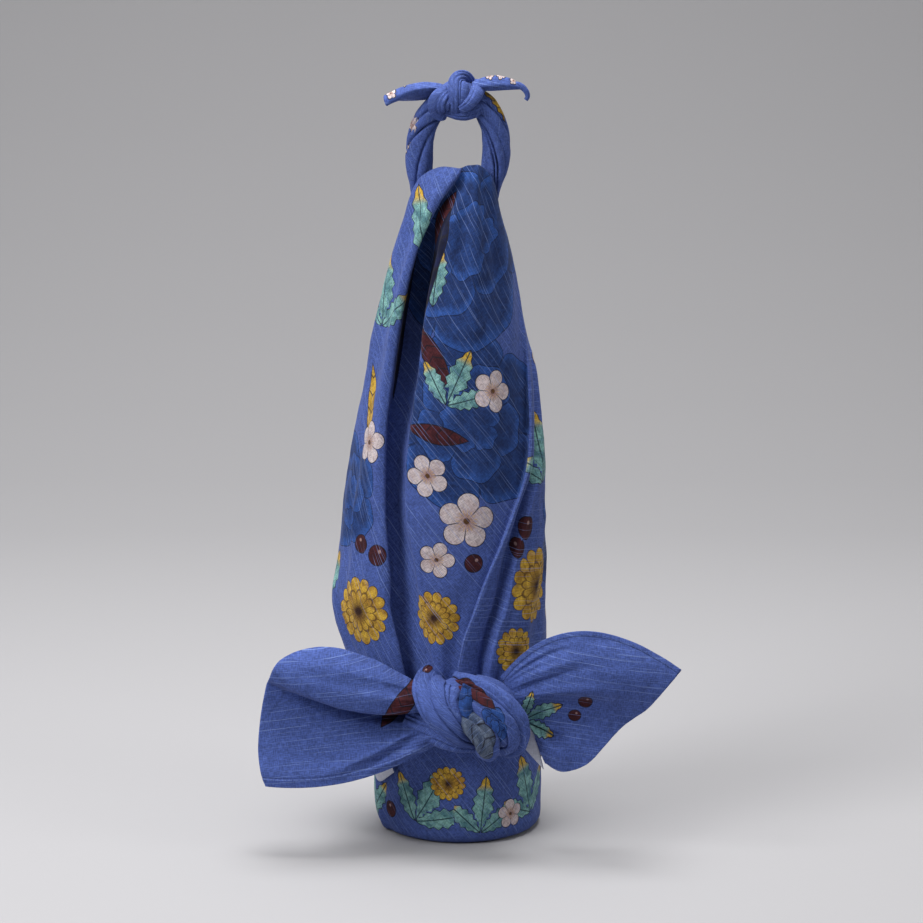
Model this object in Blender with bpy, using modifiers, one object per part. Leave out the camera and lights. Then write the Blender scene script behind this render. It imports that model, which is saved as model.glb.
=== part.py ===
"""A furoshiki bottle wrap: one hemmed square of cloth that stands as it was tied, as a single closed solid.

The cloth rises from a flat round base, drapes in pleats round an empty bottle space and ends in two corners
that are twisted into a carrying handle with a knot and two tails. The other two corners come round from the
back, knot at the front and stand out as wings.
+Z is up, the front faces -Y, and the origin is the middle of the base. The tables are in millimetres and
degrees, and the mesh is in metres.
"""

import math
from collections import namedtuple

import bmesh
import bpy
from mathutils import Vector

NAME = "furoshiki_cloth"
MM = 0.001
CLOTH = 1.7  # thickness of the sheet, its slubs included
TAIL_CLOTH = 1.5  # the tails are pulled tight
FOLD_FADE = 20  # a soft fold dies away over this length past its ends
HEM_STEP = 0.6  # half the width over which a hem steps down to the cloth beneath
CLOTH_BLUE = (0.062, 0.082, 0.27, 1.0)
CLOTH_ROUGHNESS = 0.85

# The draped body, a row per section. left, right, front and back are its reaches from the axis. roll, valley,
# hem, fold and rear are where its main lines stand, in degrees from the front (right is positive): the left
# panel's rolled edge, the valley beside it, the right panel's hem, the pleat behind that hem and the hem that
# crosses the back.
Section = namedtuple("Section", "height left right front back roll valley hem fold rear")
BODY = (
    Section(0, 36.5, 36.0, 35.5, 36.0, -28, -21, 8, 26, 230),
    Section(1.2, 39.5, 38.8, 38.5, 38.6, -28, -21, 8, 26, 230),
    Section(4, 41.2, 40.6, 40.2, 40.2, -28, -21, 8, 26, 230),
    Section(10, 42.4, 41.2, 41.0, 41.0, -28, -21, 8, 26, 230),
    Section(30, 42.9, 41.4, 41.4, 41.6, -28, -21, 6, 24, 230),
    Section(50, 45.0, 41.6, 41.8, 42.0, -28, -21, 3, 20, 230),
    Section(70, 50.5, 42.2, 42.2, 42.6, -28, -21, 0, 16, 230),
    Section(92, 58.0, 43.4, 42.8, 43.5, -29, -21.5, -0.8, 15.5, 229),
    Section(107, 62.0, 42.6, 42.6, 43.8, -30.5, -23.5, 3, 20.5, 226),
    Section(120, 63.2, 42.6, 42.4, 43.8, -32.5, -25.5, 9.5, 26.5, 222),
    Section(136, 60.4, 43.4, 42.2, 43.5, -35, -28, 17, 31.5, 217),
    Section(149, 58.4, 42.6, 42.0, 43.0, -37, -31, 25.5, 37, 213),
    Section(165, 56.4, 41.9, 41.8, 42.4, -40, -35.5, 36, 46, 208),
    Section(187, 52.9, 41.7, 41.0, 41.6, -44, -38.5, 50, 62.5, 200),
    Section(206, 49.6, 39.9, 39.5, 40.0, -46.5, -38.5, 57, 72, 193),
    Section(229, 44.6, 36.5, 36.2, 37.0, -48.5, -38.5, 65, 82, 186),
    Section(245, 41.8, 33.5, 33.5, 34.0, -48.5, -38, 73, 92, 181),
    Section(258, 39.4, 31.2, 31.2, 31.6, -48, -38, 80, 97, 177),
    Section(281, 34.1, 26.8, 27.0, 27.2, -45.5, -37.5, 88, 101, 171),
    Section(300, 29.2, 23.3, 23.4, 24.2, -36.5, -31.5, 91, 102, 167),
    Section(314, 25.5, 20.5, 20.6, 22.2, -24, -20, 91, 102, 165),
    Section(324, 22.9, 18.9, 18.2, 20.8, -9.5, -5.5, 91, 102, 164),
    Section(330, 20.6, 17.4, 15.2, 19.6, 1, 5, 91, 102, 164),
    Section(332, 18.4, 15.6, 12.4, 18.6, 3, 8, 91, 102, 164),
)

# How far those lines stand out of the plain oval: the valley's depth, the roll's puff, the dip before the
# hem, the hem's lap, the pleat's crease and the rear hem's lap.
Relief = namedtuple("Relief", "height valley puff dip lap crease rear")
RELIEF = (
    Relief(0, 0, 0, 0, 0, 0, 0),
    Relief(40, 0, 0, 0, 0, 0, 0),
    Relief(60, 3.0, 0.6, 0.6, 1.0, 0.8, 0.6),
    Relief(92, 5.0, 1.2, 1.0, 1.8, 1.8, 1.8),
    Relief(120, 6.0, 1.6, 1.2, 2.0, 2.2, 2.0),
    Relief(165, 7.0, 1.4, 1.8, 2.0, 2.0, 2.0),
    Relief(195, 10.0, 1.8, 3.2, 2.0, 1.6, 2.0),
    Relief(229, 14.0, 2.2, 3.0, 1.2, 1.0, 2.0),
    Relief(258, 15.0, 2.2, 1.4, 0.4, 0.4, 1.8),
    Relief(285, 11.0, 2.0, 0.4, 0.2, 0.2, 1.6),
    Relief(300, 6.5, 1.8, 0, 0, 0, 1.2),
    Relief(314, 4.6, 1.6, 0, 0, 0, 0.6),
    Relief(332, 2.4, 0.6, 0, 0, 0, 0),
)

# The top edge is two soft lobes between the handle's feet.
RIM_START = 296
Lobe = namedtuple("Lobe", "angle height")
RIM = (
    Lobe(-180, 328.0),
    Lobe(-130, 327.5),
    Lobe(-92, 321.5),
    Lobe(-60, 328.5),
    Lobe(-28, 332.0),
    Lobe(-8, 331.2),
    Lobe(4, 329.0),
    Lobe(22, 332.0),
    Lobe(44, 332.4),
    Lobe(66, 328.0),
    Lobe(90, 320.5),
    Lobe(130, 327.0),
    Lobe(180, 328.0),
)

# Softer folds, each a ridge (or a trough, where rise is negative) of this width along (height, angle) stops.
Soft = namedtuple("Soft", "name rise width path")
Stop = namedtuple("Stop", "height angle")
SOFT_FOLDS = (
    Soft("top fan, left", -1.5, 3.0, ((292, 2), (312, 6), (332, 12))),
    Soft("top fan, middle", 1.4, 3.5, ((270, 14), (300, 20), (332, 26))),
    Soft("top fan, right", -1.6, 4.0, ((262, 42), (300, 44), (332, 46))),
    Soft("gather, left", 1.8, 3.5, ((84, -46), (104, -48), (132, -58), (160, -66))),
    Soft("gather, far left", -2.2, 5.0, ((84, -62), (104, -70), (128, -84))),
    Soft("gather, middle", 1.0, 3.0, ((84, -9), (104, -8), (126, -8))),
    Soft("gather, right", 1.6, 4.0, ((84, 40), (104, 44), (130, 56), (160, 74))),
    Soft("gather, far right", -1.8, 5.0, ((84, 58), (104, 64), (130, 80))),
    Soft("base fold, left", 1.6, 3.0, ((6, -66), (20, -70), (44, -76), (60, -78))),
    Soft("base fold, back", 1.2, 5.0, ((6, 150), (30, 140), (60, 128))),
    Soft("back band", 1.8, 6.0, ((70, 150), (120, 168), (170, 190), (220, 212), (270, 232))),
    Soft("back gather", -1.4, 6.0, ((80, 190), (120, 196), (170, 206))),
    Soft("left drape", 1.6, 6.0, ((110, -108), (180, -98), (260, -84), (316, -70))),
    Soft("left hollow", -1.6, 7.0, ((120, -70), (180, -72), (250, -66), (300, -58))),
)

# Where the body's loft has its rows, and how many columns lie between neighbouring lines.
ROWS = (
    0, 1.2, 4, 10, 21, 34, 47, 60, 71, 81, 90, 98, 107, 118, 130, 144, 160,
    176, 192, 208, 224, 240, 255, 270, 284, 297, 308, 317, 324.5, 330, 332,
)
SPANS = (3, 2, 2, 2, 2, 2, 1, 1, 1, 1, 1, 4, 3, 1, 1, 1, 1, 1, 3, 3, 2, 1, 1)

# Twisted strands, knot bands and tails are bands: a row per section along the middle of each.
Band = namedtuple("Band", "x y z width thick turn")
LEFT_STRAND = (
    Band(-18.4, 2.5, 300, 8, 7, -10),
    Band(-18.6, 2.0, 311, 11, 10.5, 0),
    Band(-18.8, 1.0, 322, 12.8, 12, 10),
    Band(-19.3, 0.5, 334, 13.4, 12.5, 30),
    Band(-18.8, 0.0, 345, 13.2, 12, 55),
    Band(-15.9, 0.0, 354, 12.4, 12, 80),
    Band(-10.0, 0.5, 360.5, 12, 12, 100),
    Band(-3.0, 1.0, 364, 11, 11, 120),
)
RIGHT_STRAND = (
    Band(14.2, 2.5, 300, 8, 7, 10),
    Band(14.6, 2.0, 311, 11, 10.5, 0),
    Band(15.6, 1.0, 321, 12.6, 12, -10),
    Band(17.6, 0.5, 333, 13.6, 12.5, -30),
    Band(17.6, 0.0, 344, 13.6, 12, -55),
    Band(15.0, 0.0, 354, 13.0, 12, -80),
    Band(10.2, 0.5, 361, 12.6, 12, -100),
    Band(3.0, 1.0, 364, 11, 11, -120),
)
KNOT_LEFT_WRAP = (
    Band(-6.0, 8.0, 357, 10, 4, 0),
    Band(-7.5, 0.0, 355.2, 12, 4, 0),
    Band(-8.6, -6.8, 357.5, 13, 4.5, 0),
    Band(-8.4, -8.6, 362.5, 13, 4.5, 0),
    Band(-6.6, -5.5, 368.0, 11, 4.5, 0),
    Band(-4.5, 2.0, 370.0, 9, 4, 0),
    Band(-3.0, 7.0, 365.0, 9, 4, 0),
)
KNOT_TOP_WRAP = (
    Band(6.0, 5.0, 367, 9, 5, 0),
    Band(3.6, 0.0, 373.2, 11, 5.5, 0),
    Band(0.2, -5.4, 373.0, 12, 5.5, 0),
    Band(-0.6, -9.0, 367.5, 10.5, 5, 0),
    Band(-0.2, -9.0, 361.5, 8.0, 4.5, 0),
    Band(1.0, -5.0, 357.0, 7, 4, 0),
)
KNOT_RIGHT_WRAP = (
    Band(7.4, 5.0, 369, 7, 5, 0),
    Band(8.6, -2.0, 369, 7.5, 5, 0),
    Band(7.4, -7.4, 366, 6.8, 4.6, 0),
    Band(4.2, -10.4, 361.8, 5.6, 4.0, 0),
    Band(0.4, -9.8, 359.4, 4.2, 3.6, 0),
)
KNOT_UNDER_WRAP = (
    Band(-3.5, -4.0, 357.0, 6, 5, 0),
    Band(2.0, -5.6, 356.8, 7, 6, 0),
    Band(7.6, -3.6, 358.6, 8, 7, 0),
    Band(11.0, 0.0, 361.0, 8, 7, 0),
)
FRONT_LEFT_WRAP = (
    Band(-3.0, -38.0, 94.0, 20, 6, 0),
    Band(-11.0, -47.0, 89.0, 26, 8, 0),
    Band(-12.5, -55.0, 80.5, 24, 9, 0),
    Band(-6.5, -60.0, 71.5, 18, 9, 0),
    Band(1.0, -58.5, 63.0, 13, 8, 0),
    Band(7.0, -52.0, 56.0, 10, 7, 0),
)
FRONT_RIGHT_WRAP = (
    Band(-2.0, -45.0, 83.0, 14, 8, 0),
    Band(6.5, -55.0, 82.5, 16, 9, 0),
    Band(16.0, -61.0, 77.0, 19, 10, 0),
    Band(24.6, -62.0, 68.0, 20, 10, 0),
    Band(26.0, -57.5, 57.0, 18, 9, 0),
    Band(20.0, -48.0, 50.5, 14, 8, 0),
)
FRONT_TONGUE = (
    Band(3.5, -52.0, 73.0, 8, 6, 0),
    Band(9.0, -60.5, 68.0, 10, 6, 0),
    Band(14.5, -63.0, 59.5, 11, 6, 0),
    Band(14.5, -59.0, 51.0, 9, 6, 0),
    Band(10.0, -52.0, 49.5, 6, 5, 0),
)
FRONT_UNDER_WRAP = (
    Band(-26.0, -47.0, 66.0, 12, 7, 0),
    Band(-14.0, -52.5, 62.0, 13, 8, 0),
    Band(-2.0, -55.0, 57.5, 11, 8, 0),
    Band(10.0, -50.0, 55.0, 9, 7, 0),
)
# Ball-shaped hearts of the two knots: centre and half sizes.
Heart = namedtuple("Heart", "x y z across deep high")
TOP_HEART = Heart(-0.5, 0.0, 364.0, 10.5, 8.5, 9.0)
FRONT_HEART = Heart(6.0, -47.0, 70.0, 24.0, 11.0, 19.0)

# Wings and tails are sheets of rays from the knot to their rim, each bent through its middle point.
Ray = namedtuple("Ray", "root middle rim")
LEFT_WING = (
    Ray((-9, -52, 57), (-49, -59, 37.5), (-95, -58, 33)),
    Ray((-10, -54, 59.5), (-50, -60, 44), (-97, -57, 42)),
    Ray((-11, -55, 62), (-51, -57, 52), (-97.7, -54, 52)),
    Ray((-12, -53, 65), (-52, -50, 61), (-97, -50, 62)),
    Ray((-13, -50, 68), (-52, -44, 71), (-96, -46, 72)),
    Ray((-14.5, -50, 72), (-52, -45, 80), (-94.8, -46, 81)),
    Ray((-16, -53, 77), (-53, -53, 91), (-92.5, -50, 89)),
    Ray((-17.5, -53, 81), (-53.5, -55, 100), (-88.5, -51, 95.5)),
    Ray((-18.5, -48, 83), (-54, -47, 102.5), (-82, -45, 100.5)),
    Ray((-18, -44, 81), (-54, -40, 95), (-76, -36, 92)),
)
RIGHT_WING = (
    Ray((20, -44, 87), (58, -53, 112.4), (107, -52, 93.2)),
    Ray((22, -46, 84), (60, -55, 103), (103.5, -53, 89.5)),
    Ray((24, -47, 81), (61, -54, 93), (97, -53, 82)),
    Ray((26, -48, 77.5), (60, -51, 83), (90.5, -52, 72.5)),
    Ray((28, -49, 74), (57, -49, 73), (80, -53, 63.5)),
    Ray((29.5, -50, 70.5), (52, -50, 63), (69, -54, 53)),
    Ray((31, -51, 67), (47, -54, 55), (59, -54, 44)),
    Ray((32, -51, 63.5), (41, -56, 52), (47, -55, 41)),
    Ray((32, -49, 60), (37, -50, 50), (38.5, -47, 44)),
)
LEFT_TAIL = (
    Ray((-6, -3.5, 365.5), (-20, -6.5, 362.8), (-34.5, -5.5, 360.6)),
    Ray((-6, -5.0, 368.5), (-20, -8.5, 367.0), (-36.2, -7.0, 363.6)),
    Ray((-6, -2.0, 370.5), (-20, -3.5, 370.8), (-34.5, -3.5, 366.2)),
    Ray((-6, 1.0, 369.0), (-20, 1.5, 368.5), (-33.0, 0.5, 364.5)),
)
RIGHT_TAIL = (
    Ray((6, -1.5, 366.5), (19, -4.0, 367.2), (31.0, -3.5, 362.0)),
    Ray((6, -4.0, 369.5), (19, -6.5, 371.0), (33.0, -5.0, 364.5)),
    Ray((6, -1.5, 372.5), (19, -2.5, 374.6), (33.4, -2.5, 367.5)),
    Ray((6, 1.5, 371.0), (19, 1.5, 373.0), (32.0, 0.5, 367.0)),
)


def mix(a, b, share):
    return a + (b - a) * share


def cubic(before, start, end, after, share):
    """The Catmull-Rom curve between start and end, of numbers or Vectors."""
    return 0.5 * (
        2 * start
        + (end - before) * share
        + (2 * before - 5 * start + 4 * end - after) * share**2
        + (3 * start - before - 3 * end + after) * share**3
    )


def through(points, place):
    """The point at place (0 to 1) of a smooth curve through these points."""
    last = len(points) - 1
    step = min(int(place * last), last - 1)
    before = points[step - 1] if step else 2 * points[0] - points[1]
    after = points[step + 2] if step + 2 <= last else 2 * points[last] - points[last - 1]
    return cubic(before, points[step], points[step + 1], after, place * last - step)


def read(table, key):
    """The table's row at this value of its first column, blended smoothly between the rows given."""
    keys = [row[0] for row in table]
    key = min(max(key, keys[0]), keys[-1])
    step = max(index for index in range(len(keys) - 1) if keys[index] <= key)
    low, high = table[step], table[step + 1]
    share = (key - low[0]) / (high[0] - low[0])
    below = table[max(step - 1, 0)]
    above = table[min(step + 2, len(table) - 1)]
    values = [key]
    for column in range(1, len(low)):
        gap = high[0] - low[0]
        slope_low = (high[column] - below[column]) / max(high[0] - below[0], 1e-9) * gap
        slope_high = (above[column] - low[column]) / max(above[0] - low[0], 1e-9) * gap
        values.append(
            low[column] * (2 * share**3 - 3 * share**2 + 1)
            + slope_low * (share**3 - 2 * share**2 + share)
            + high[column] * (3 * share**2 - 2 * share**3)
            + slope_high * (share**3 - share**2)
        )
    return type(low)(*values)


def soft_relief(height, angle, radius):
    """How far the soft folds stand out at a place on the body."""
    total = 0.0
    for fold in SOFT_FOLDS:
        path = [Stop(*stop) for stop in fold.path]
        above, below = height - path[0].height, path[-1].height - height
        fade = min(1.0, 1 + above / FOLD_FADE, 1 + below / FOLD_FADE)
        if fade <= 0:
            continue
        apart = math.radians((angle - read(path, height).angle + 180) % 360 - 180) * radius
        total += fold.rise * fade * math.exp(-((apart / fold.width) ** 2))
    return total


def body_anchors(height):
    """The section's control points, from the rear hem round by the left: (angle, out, aside)."""
    row = read(BODY, height)
    relief = read(RELIEF, height)
    degree = math.radians(1) * 0.5 * (row.front + row.left)  # of arc, in millimetres
    tuck = 0.18 * relief.valley
    panel = row.hem - row.valley  # the front panel, between the valley and the hem
    rise = min(4.2 / degree, 0.22 * panel)
    dip = min(6 / degree, 0.22 * panel)
    return (
        (row.rear - 360 + HEM_STEP / degree, 0, 0),
        (mix(row.rear - 360, -97, 0.33), 0, 0),
        (mix(row.rear - 360, -97, 0.66), 0, 0),
        (-97, 0, 0),
        (mix(-97, row.roll, 0.40), 0, 0),
        (mix(-97, row.roll, 0.74), 0.5 * relief.puff, 0),
        (row.roll - 4 / degree, relief.puff, 0),
        (row.roll, -0.10 * relief.valley, 0),
        (mix(row.roll, row.valley, 0.40), -0.62 * relief.valley, -tuck),
        (row.valley, -relief.valley, 0),
        (row.valley + rise, -0.55 * relief.valley, 0),
        (row.valley + 2.1 * rise, 0.03 * relief.valley, 0),
        (mix(row.valley + 2.1 * rise, row.hem - dip, 0.5), 0, 0),
        (row.hem - dip, -relief.dip, 0),
        (row.hem - HEM_STEP / degree, -0.4 * relief.dip, 0),
        (row.hem + HEM_STEP / degree, relief.lap, 0),
        (mix(row.hem, row.fold, 0.62), 0.9 * relief.lap, 0),
        (row.fold, -0.5 * relief.crease, 0),
        (row.fold + 4 / degree, relief.crease, 0),
        (mix(row.fold, row.rear, 0.30), 0, 0),
        (mix(row.fold, row.rear, 0.58), 0, 0),
        (mix(row.fold, row.rear, 0.85), 0.4 * relief.rear, 0),
        (row.rear - HEM_STEP / degree, relief.rear, 0),
    )


def body_point(height, column):
    """A point of the body's outside, where column counts the lines from the rear hem."""
    anchors = body_anchors(height)
    row = read(BODY, height)
    count = len(anchors)
    step = int(column) % count
    near = []
    for offset in (-1, 0, 1, 2):
        turn, index = divmod(step + offset, count)
        angle, out, aside = anchors[index]
        near.append(Vector((angle + 360 * turn, out, aside)))
    angle, out, aside = cubic(*near, column - int(column))
    sine, cosine = math.sin(math.radians(angle)), math.cos(math.radians(angle))
    x = sine * (row.right if sine > 0 else row.left)
    y = -cosine * (row.front if cosine > 0 else row.back)
    radius = math.hypot(x, y)
    out += soft_relief(height, angle, radius)
    outward = Vector((x, y, 0)) / radius
    sideways = Vector((-outward.y, outward.x, 0))
    level = height
    if height > RIM_START:
        top = read(RIM, (angle + 180) % 360 - 180).height
        level = mix(RIM_START, top, (height - RIM_START) / (BODY[-1].height - RIM_START))
    return Vector((x, y, level)) + outward * out + sideways * aside


def surface(name, place, across, along, loop=False, caps="", thick=0.0):
    """A grid of quads that place(u, v) lays out. loop sews its two sides, caps closes its start or both ends,
    and thick makes it a shell of that thickness behind its front."""
    bm = bmesh.new()
    bmesh.ops.create_grid(bm, x_segments=across, y_segments=along, size=0.5)
    bm.verts.ensure_lookup_table()
    for vert in bm.verts:
        vert.co = place(vert.co.x + 0.5, vert.co.y + 0.5) * MM
    if loop:
        bmesh.ops.remove_doubles(bm, verts=bm.verts, dist=1e-6)
    if caps:
        open_edges = [edge for edge in bm.edges if edge.is_boundary]
        if caps == "start":
            open_edges = [edge for edge in open_edges if edge.verts[0].co.z < CLOTH * MM]
        bmesh.ops.holes_fill(bm, edges=open_edges)
    bmesh.ops.recalc_face_normals(bm, faces=bm.faces)
    mesh = bpy.data.meshes.new(name)
    bm.to_mesh(mesh)
    bm.free()
    obj = bpy.data.objects.new(name, mesh)
    if thick:
        shell = obj.modifiers.new("Cloth thickness", "SOLIDIFY")
        shell.thickness = thick * MM
        shell.offset = -1.0
    return obj


def body():
    """The draped body: a loft of its sections, closed below and open between the handle's feet."""
    columns = [line + part / count for line, count in enumerate(SPANS) for part in range(count)]
    columns.append(len(SPANS))

    def place(u, v):
        column = columns[round(u * (len(columns) - 1))]
        return body_point(ROWS[round(v * (len(ROWS) - 1))], column)

    return surface(NAME, place, len(columns) - 1, len(ROWS) - 1, loop=True, caps="start", thick=CLOTH)


def band(name, rows, sides=10, rings=10, pleats=3, pleat=0.08):
    """A pleated band along a smooth line: an oval section whose pleats turn with it."""
    centres = [Vector(row[:3]) for row in rows]
    sizes = [Vector(row[3:]) for row in rows]

    def place(u, v):
        centre = through(centres, v)
        ahead = (through(centres, min(v + 0.02, 1)) - through(centres, max(v - 0.02, 0))).normalized()
        width, thick, turn = through(sizes, v)
        side = ahead.cross(Vector((0, 1, 0))).normalized()
        out = side.cross(ahead)
        angle = 2 * math.pi * u
        swell = 1 + pleat * math.cos(pleats * angle + math.radians(turn) * 2)
        return centre + (side * math.cos(angle) * width + out * math.sin(angle) * thick) * 0.5 * swell

    return surface(name, place, sides, rings, loop=True, caps="both")


def sheet(name, rays, across, along, gathers=0.0, thick=CLOTH):
    """A corner of the cloth as a thin sheet: rays from its knot to its rim, gathered at the knot."""

    def place(u, v):
        root, middle, rim = (through([Vector(ray[end]) for ray in rays], u) for end in range(3))
        point = root * (1 - v) * (1 - 2 * v) + middle * 4 * v * (1 - v) + rim * v * (2 * v - 1)
        ruffle = gathers * math.sin(math.pi * (2 * len(rays) - 3) * u) * (1 - v) ** 1.5 * min(1, 6 * v)
        return point + Vector((0, ruffle, 0))

    return surface(name, place, across, along, thick=thick)


def heart(name, size):
    """A knot's hidden middle, on which its bands lie."""
    bm = bmesh.new()
    bmesh.ops.create_uvsphere(bm, u_segments=12, v_segments=8, radius=1.0)
    for vert in bm.verts:
        vert.co = Vector((vert.co.x * size.across, vert.co.y * size.deep, vert.co.z * size.high))
        vert.co = (vert.co + Vector(size[:3])) * MM
    mesh = bpy.data.meshes.new(name)
    bm.to_mesh(mesh)
    bm.free()
    return bpy.data.objects.new(name, mesh)


def cloth_pieces():
    """The stretches of the one cloth that are tied over its body, each as a closed mesh."""
    return (
        band("Left strand", LEFT_STRAND, sides=12, rings=14, pleat=0.11),
        band("Right strand", RIGHT_STRAND, sides=12, rings=14, pleat=0.11),
        heart("Top knot heart", TOP_HEART),
        band("Top knot, left wrap", KNOT_LEFT_WRAP, pleats=4),
        band("Top knot, top wrap", KNOT_TOP_WRAP),
        band("Top knot, right wrap", KNOT_RIGHT_WRAP, rings=8),
        band("Top knot, under wrap", KNOT_UNDER_WRAP, rings=7),
        sheet("Left tail", LEFT_TAIL, 6, 8, thick=TAIL_CLOTH),
        sheet("Right tail", RIGHT_TAIL, 6, 8, thick=TAIL_CLOTH),
        heart("Front knot heart", FRONT_HEART),
        band("Front knot, left wrap", FRONT_LEFT_WRAP, sides=12),
        band("Front knot, right wrap", FRONT_RIGHT_WRAP, sides=12),
        band("Front knot, tongue", FRONT_TONGUE, rings=8, pleats=2),
        band("Front knot, under wrap", FRONT_UNDER_WRAP, rings=8),
        sheet("Left wing", LEFT_WING, 18, 10, gathers=0.5),
        sheet("Right wing", RIGHT_WING, 18, 10, gathers=0.5),
    )


def cloth_material():
    material = bpy.data.materials.new("Blue slub cloth")
    material.use_nodes = True
    principled = material.node_tree.nodes["Principled BSDF"]
    principled.inputs["Base Color"].default_value = CLOTH_BLUE
    principled.inputs["Roughness"].default_value = CLOTH_ROUGHNESS
    principled.inputs["Metallic"].default_value = 0.0
    material.diffuse_color = CLOTH_BLUE
    return material


def clear_scene():
    for obj in list(bpy.data.objects):
        bpy.data.objects.remove(obj, do_unlink=True)


def collection(name, shown):
    group = bpy.data.collections.new(name)
    bpy.context.scene.collection.children.link(group)
    group.hide_render = not shown
    return group


def main():
    clear_scene()
    model = collection("Furoshiki wrap", shown=True)
    helpers = collection("Tied stretches", shown=False)
    cloth = body()
    cloth.data.materials.append(cloth_material())
    model.objects.link(cloth)
    for piece in cloth_pieces():
        helpers.objects.link(piece)
        piece.hide_render = True
        piece.display_type = "WIRE"
        join = cloth.modifiers.new("Join " + piece.name, "BOOLEAN")
        join.operation = "UNION"
        join.solver = "MANIFOLD"
        join.object = piece


main()
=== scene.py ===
"""The looks of the furoshiki bottle wrap: one printed slub-cotton cloth, tied round an empty bottle space.

Each stretch of the cloth is a thin sheet. The body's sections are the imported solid's own, repeated here in
millimetres and degrees. Most bands, wings and tails were moved to follow the photograph more closely, and
lie up to 14 mm off the solid's. Finer folds, hems and stitching are drawn here alone. The weave and the
print are procedural: every sheet knows where each of its points lies on the flat cloth, in millimetres, and
where the nearest printed motif of each kind is.
"""

import math
from collections import namedtuple

import bpy
import numpy as np
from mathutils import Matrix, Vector, noise

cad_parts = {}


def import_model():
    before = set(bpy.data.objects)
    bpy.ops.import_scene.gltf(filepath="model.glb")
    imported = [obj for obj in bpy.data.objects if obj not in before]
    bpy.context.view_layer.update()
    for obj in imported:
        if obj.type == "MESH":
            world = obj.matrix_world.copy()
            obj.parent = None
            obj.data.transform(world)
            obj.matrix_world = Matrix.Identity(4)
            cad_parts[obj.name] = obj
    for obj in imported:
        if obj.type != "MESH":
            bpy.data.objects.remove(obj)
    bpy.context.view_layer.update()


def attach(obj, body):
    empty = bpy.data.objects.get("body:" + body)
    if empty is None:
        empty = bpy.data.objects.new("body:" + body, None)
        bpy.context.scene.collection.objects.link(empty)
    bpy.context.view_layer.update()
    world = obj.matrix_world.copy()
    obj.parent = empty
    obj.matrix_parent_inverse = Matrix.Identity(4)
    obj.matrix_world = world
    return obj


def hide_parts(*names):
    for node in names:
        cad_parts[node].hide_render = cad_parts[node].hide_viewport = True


MM = 0.001
NODE = "furoshiki_cloth"
FAR = 99  # stands for "no hem near here", in millimetres
NO_MOTIF = 9  # a place outside every motif, whose own places run from -1 to 1


def named_rows(kind, *values):
    """A table with one named row for each tuple of values."""
    return tuple(kind(*row) for row in values)


# ----------------------------------------------------------
# The cloth's form. Angles are degrees from the front, right positive, and lengths are millimetres.

FOLD_FADE = 20  # a soft fold dies away over this length past its ends
BODY_CLOTH = 0.8
CORNER_CLOTH = 0.9
# (scale, depth) of the slow ripples that cloth has by itself
BODY_RIPPLES = ((26, 0.9), (9, 0.28))
CORNER_RIPPLES = ((14, 0.7), (5, 0.2))
BAND_RIPPLES = ((5, 0.25),)
THIN_SHARE = 0.2  # of the thickness, where the cloth lies against itself
HEM = 4.4  # the width that a hem's marks are drawn for
NARROW_HEM = 2.6  # the right wing's
HEM_RAISED, HEM_STEP = 0.35, 0.8  # a corner's hem stands out this far, and its edge is this wide
PUCKER, PUCKER_PITCH, PUCKER_WIDTH = 0.12, 1.3, 2.2  # the ripple that its stitches pull
STRETCH_APART = 40  # sets each stretch's threads apart from the next one's, in the weave's noise

Section = namedtuple("Section", "height left right front back roll valley hem fold rear")
BODY = named_rows(
    Section,
    (0, 36.5, 36, 35.5, 36, -28, -21, 8, 26, 230),
    (1.2, 39.5, 38.8, 38.5, 38.6, -28, -21, 8, 26, 230),
    (4, 41.2, 40.6, 40.2, 40.2, -28, -21, 8, 26, 230),
    (10, 42.4, 41.2, 41, 41, -28, -21, 8, 26, 230),
    (30, 42.9, 41.4, 41.4, 41.6, -28, -21, 6, 24, 230),
    (50, 45, 41.6, 41.8, 42, -28, -21, 3, 20, 230),
    (70, 50.5, 42.2, 42.2, 42.6, -28, -21, 0, 16, 230),
    (92, 58, 43.4, 42.8, 43.5, -29, -21.5, -0.8, 15.5, 229),
    (107, 62, 42.6, 42.6, 43.8, -30.5, -23.5, 3, 20.5, 226),
    (120, 63.2, 42.6, 42.4, 43.8, -32.5, -25.5, 9.5, 26.5, 222),
    (136, 60.4, 43.4, 42.2, 43.5, -35, -28, 17, 31.5, 217),
    (149, 58.4, 42.6, 42, 43, -37, -31, 25.5, 37, 213),
    (165, 56.4, 41.9, 41.8, 42.4, -40, -35.5, 36, 46, 208),
    (187, 52.9, 41.7, 41, 41.6, -44, -38.5, 50, 62.5, 200),
    (206, 49.6, 39.9, 39.5, 40, -46.5, -38.5, 57, 72, 193),
    (229, 44.6, 36.5, 36.2, 37, -48.5, -38.5, 65, 82, 186),
    (245, 41.8, 33.5, 33.5, 34, -48.5, -38, 73, 92, 181),
    (258, 39.4, 31.2, 31.2, 31.6, -48, -38, 80, 97, 177),
    (281, 34.1, 26.8, 27, 27.2, -45.5, -37.5, 88, 101, 171),
    (300, 29.2, 23.3, 23.4, 24.2, -36.5, -31.5, 91, 102, 167),
    (314, 25.5, 20.5, 20.6, 22.2, -24, -20, 91, 102, 165),
    (324, 22.9, 18.9, 18.2, 20.8, -9.5, -5.5, 91, 102, 164),
    (330, 20.6, 17.4, 15.2, 19.6, 1, 5, 91, 102, 164),
    (332, 18.4, 15.6, 12.4, 18.6, 3, 8, 91, 102, 164),
)

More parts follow.
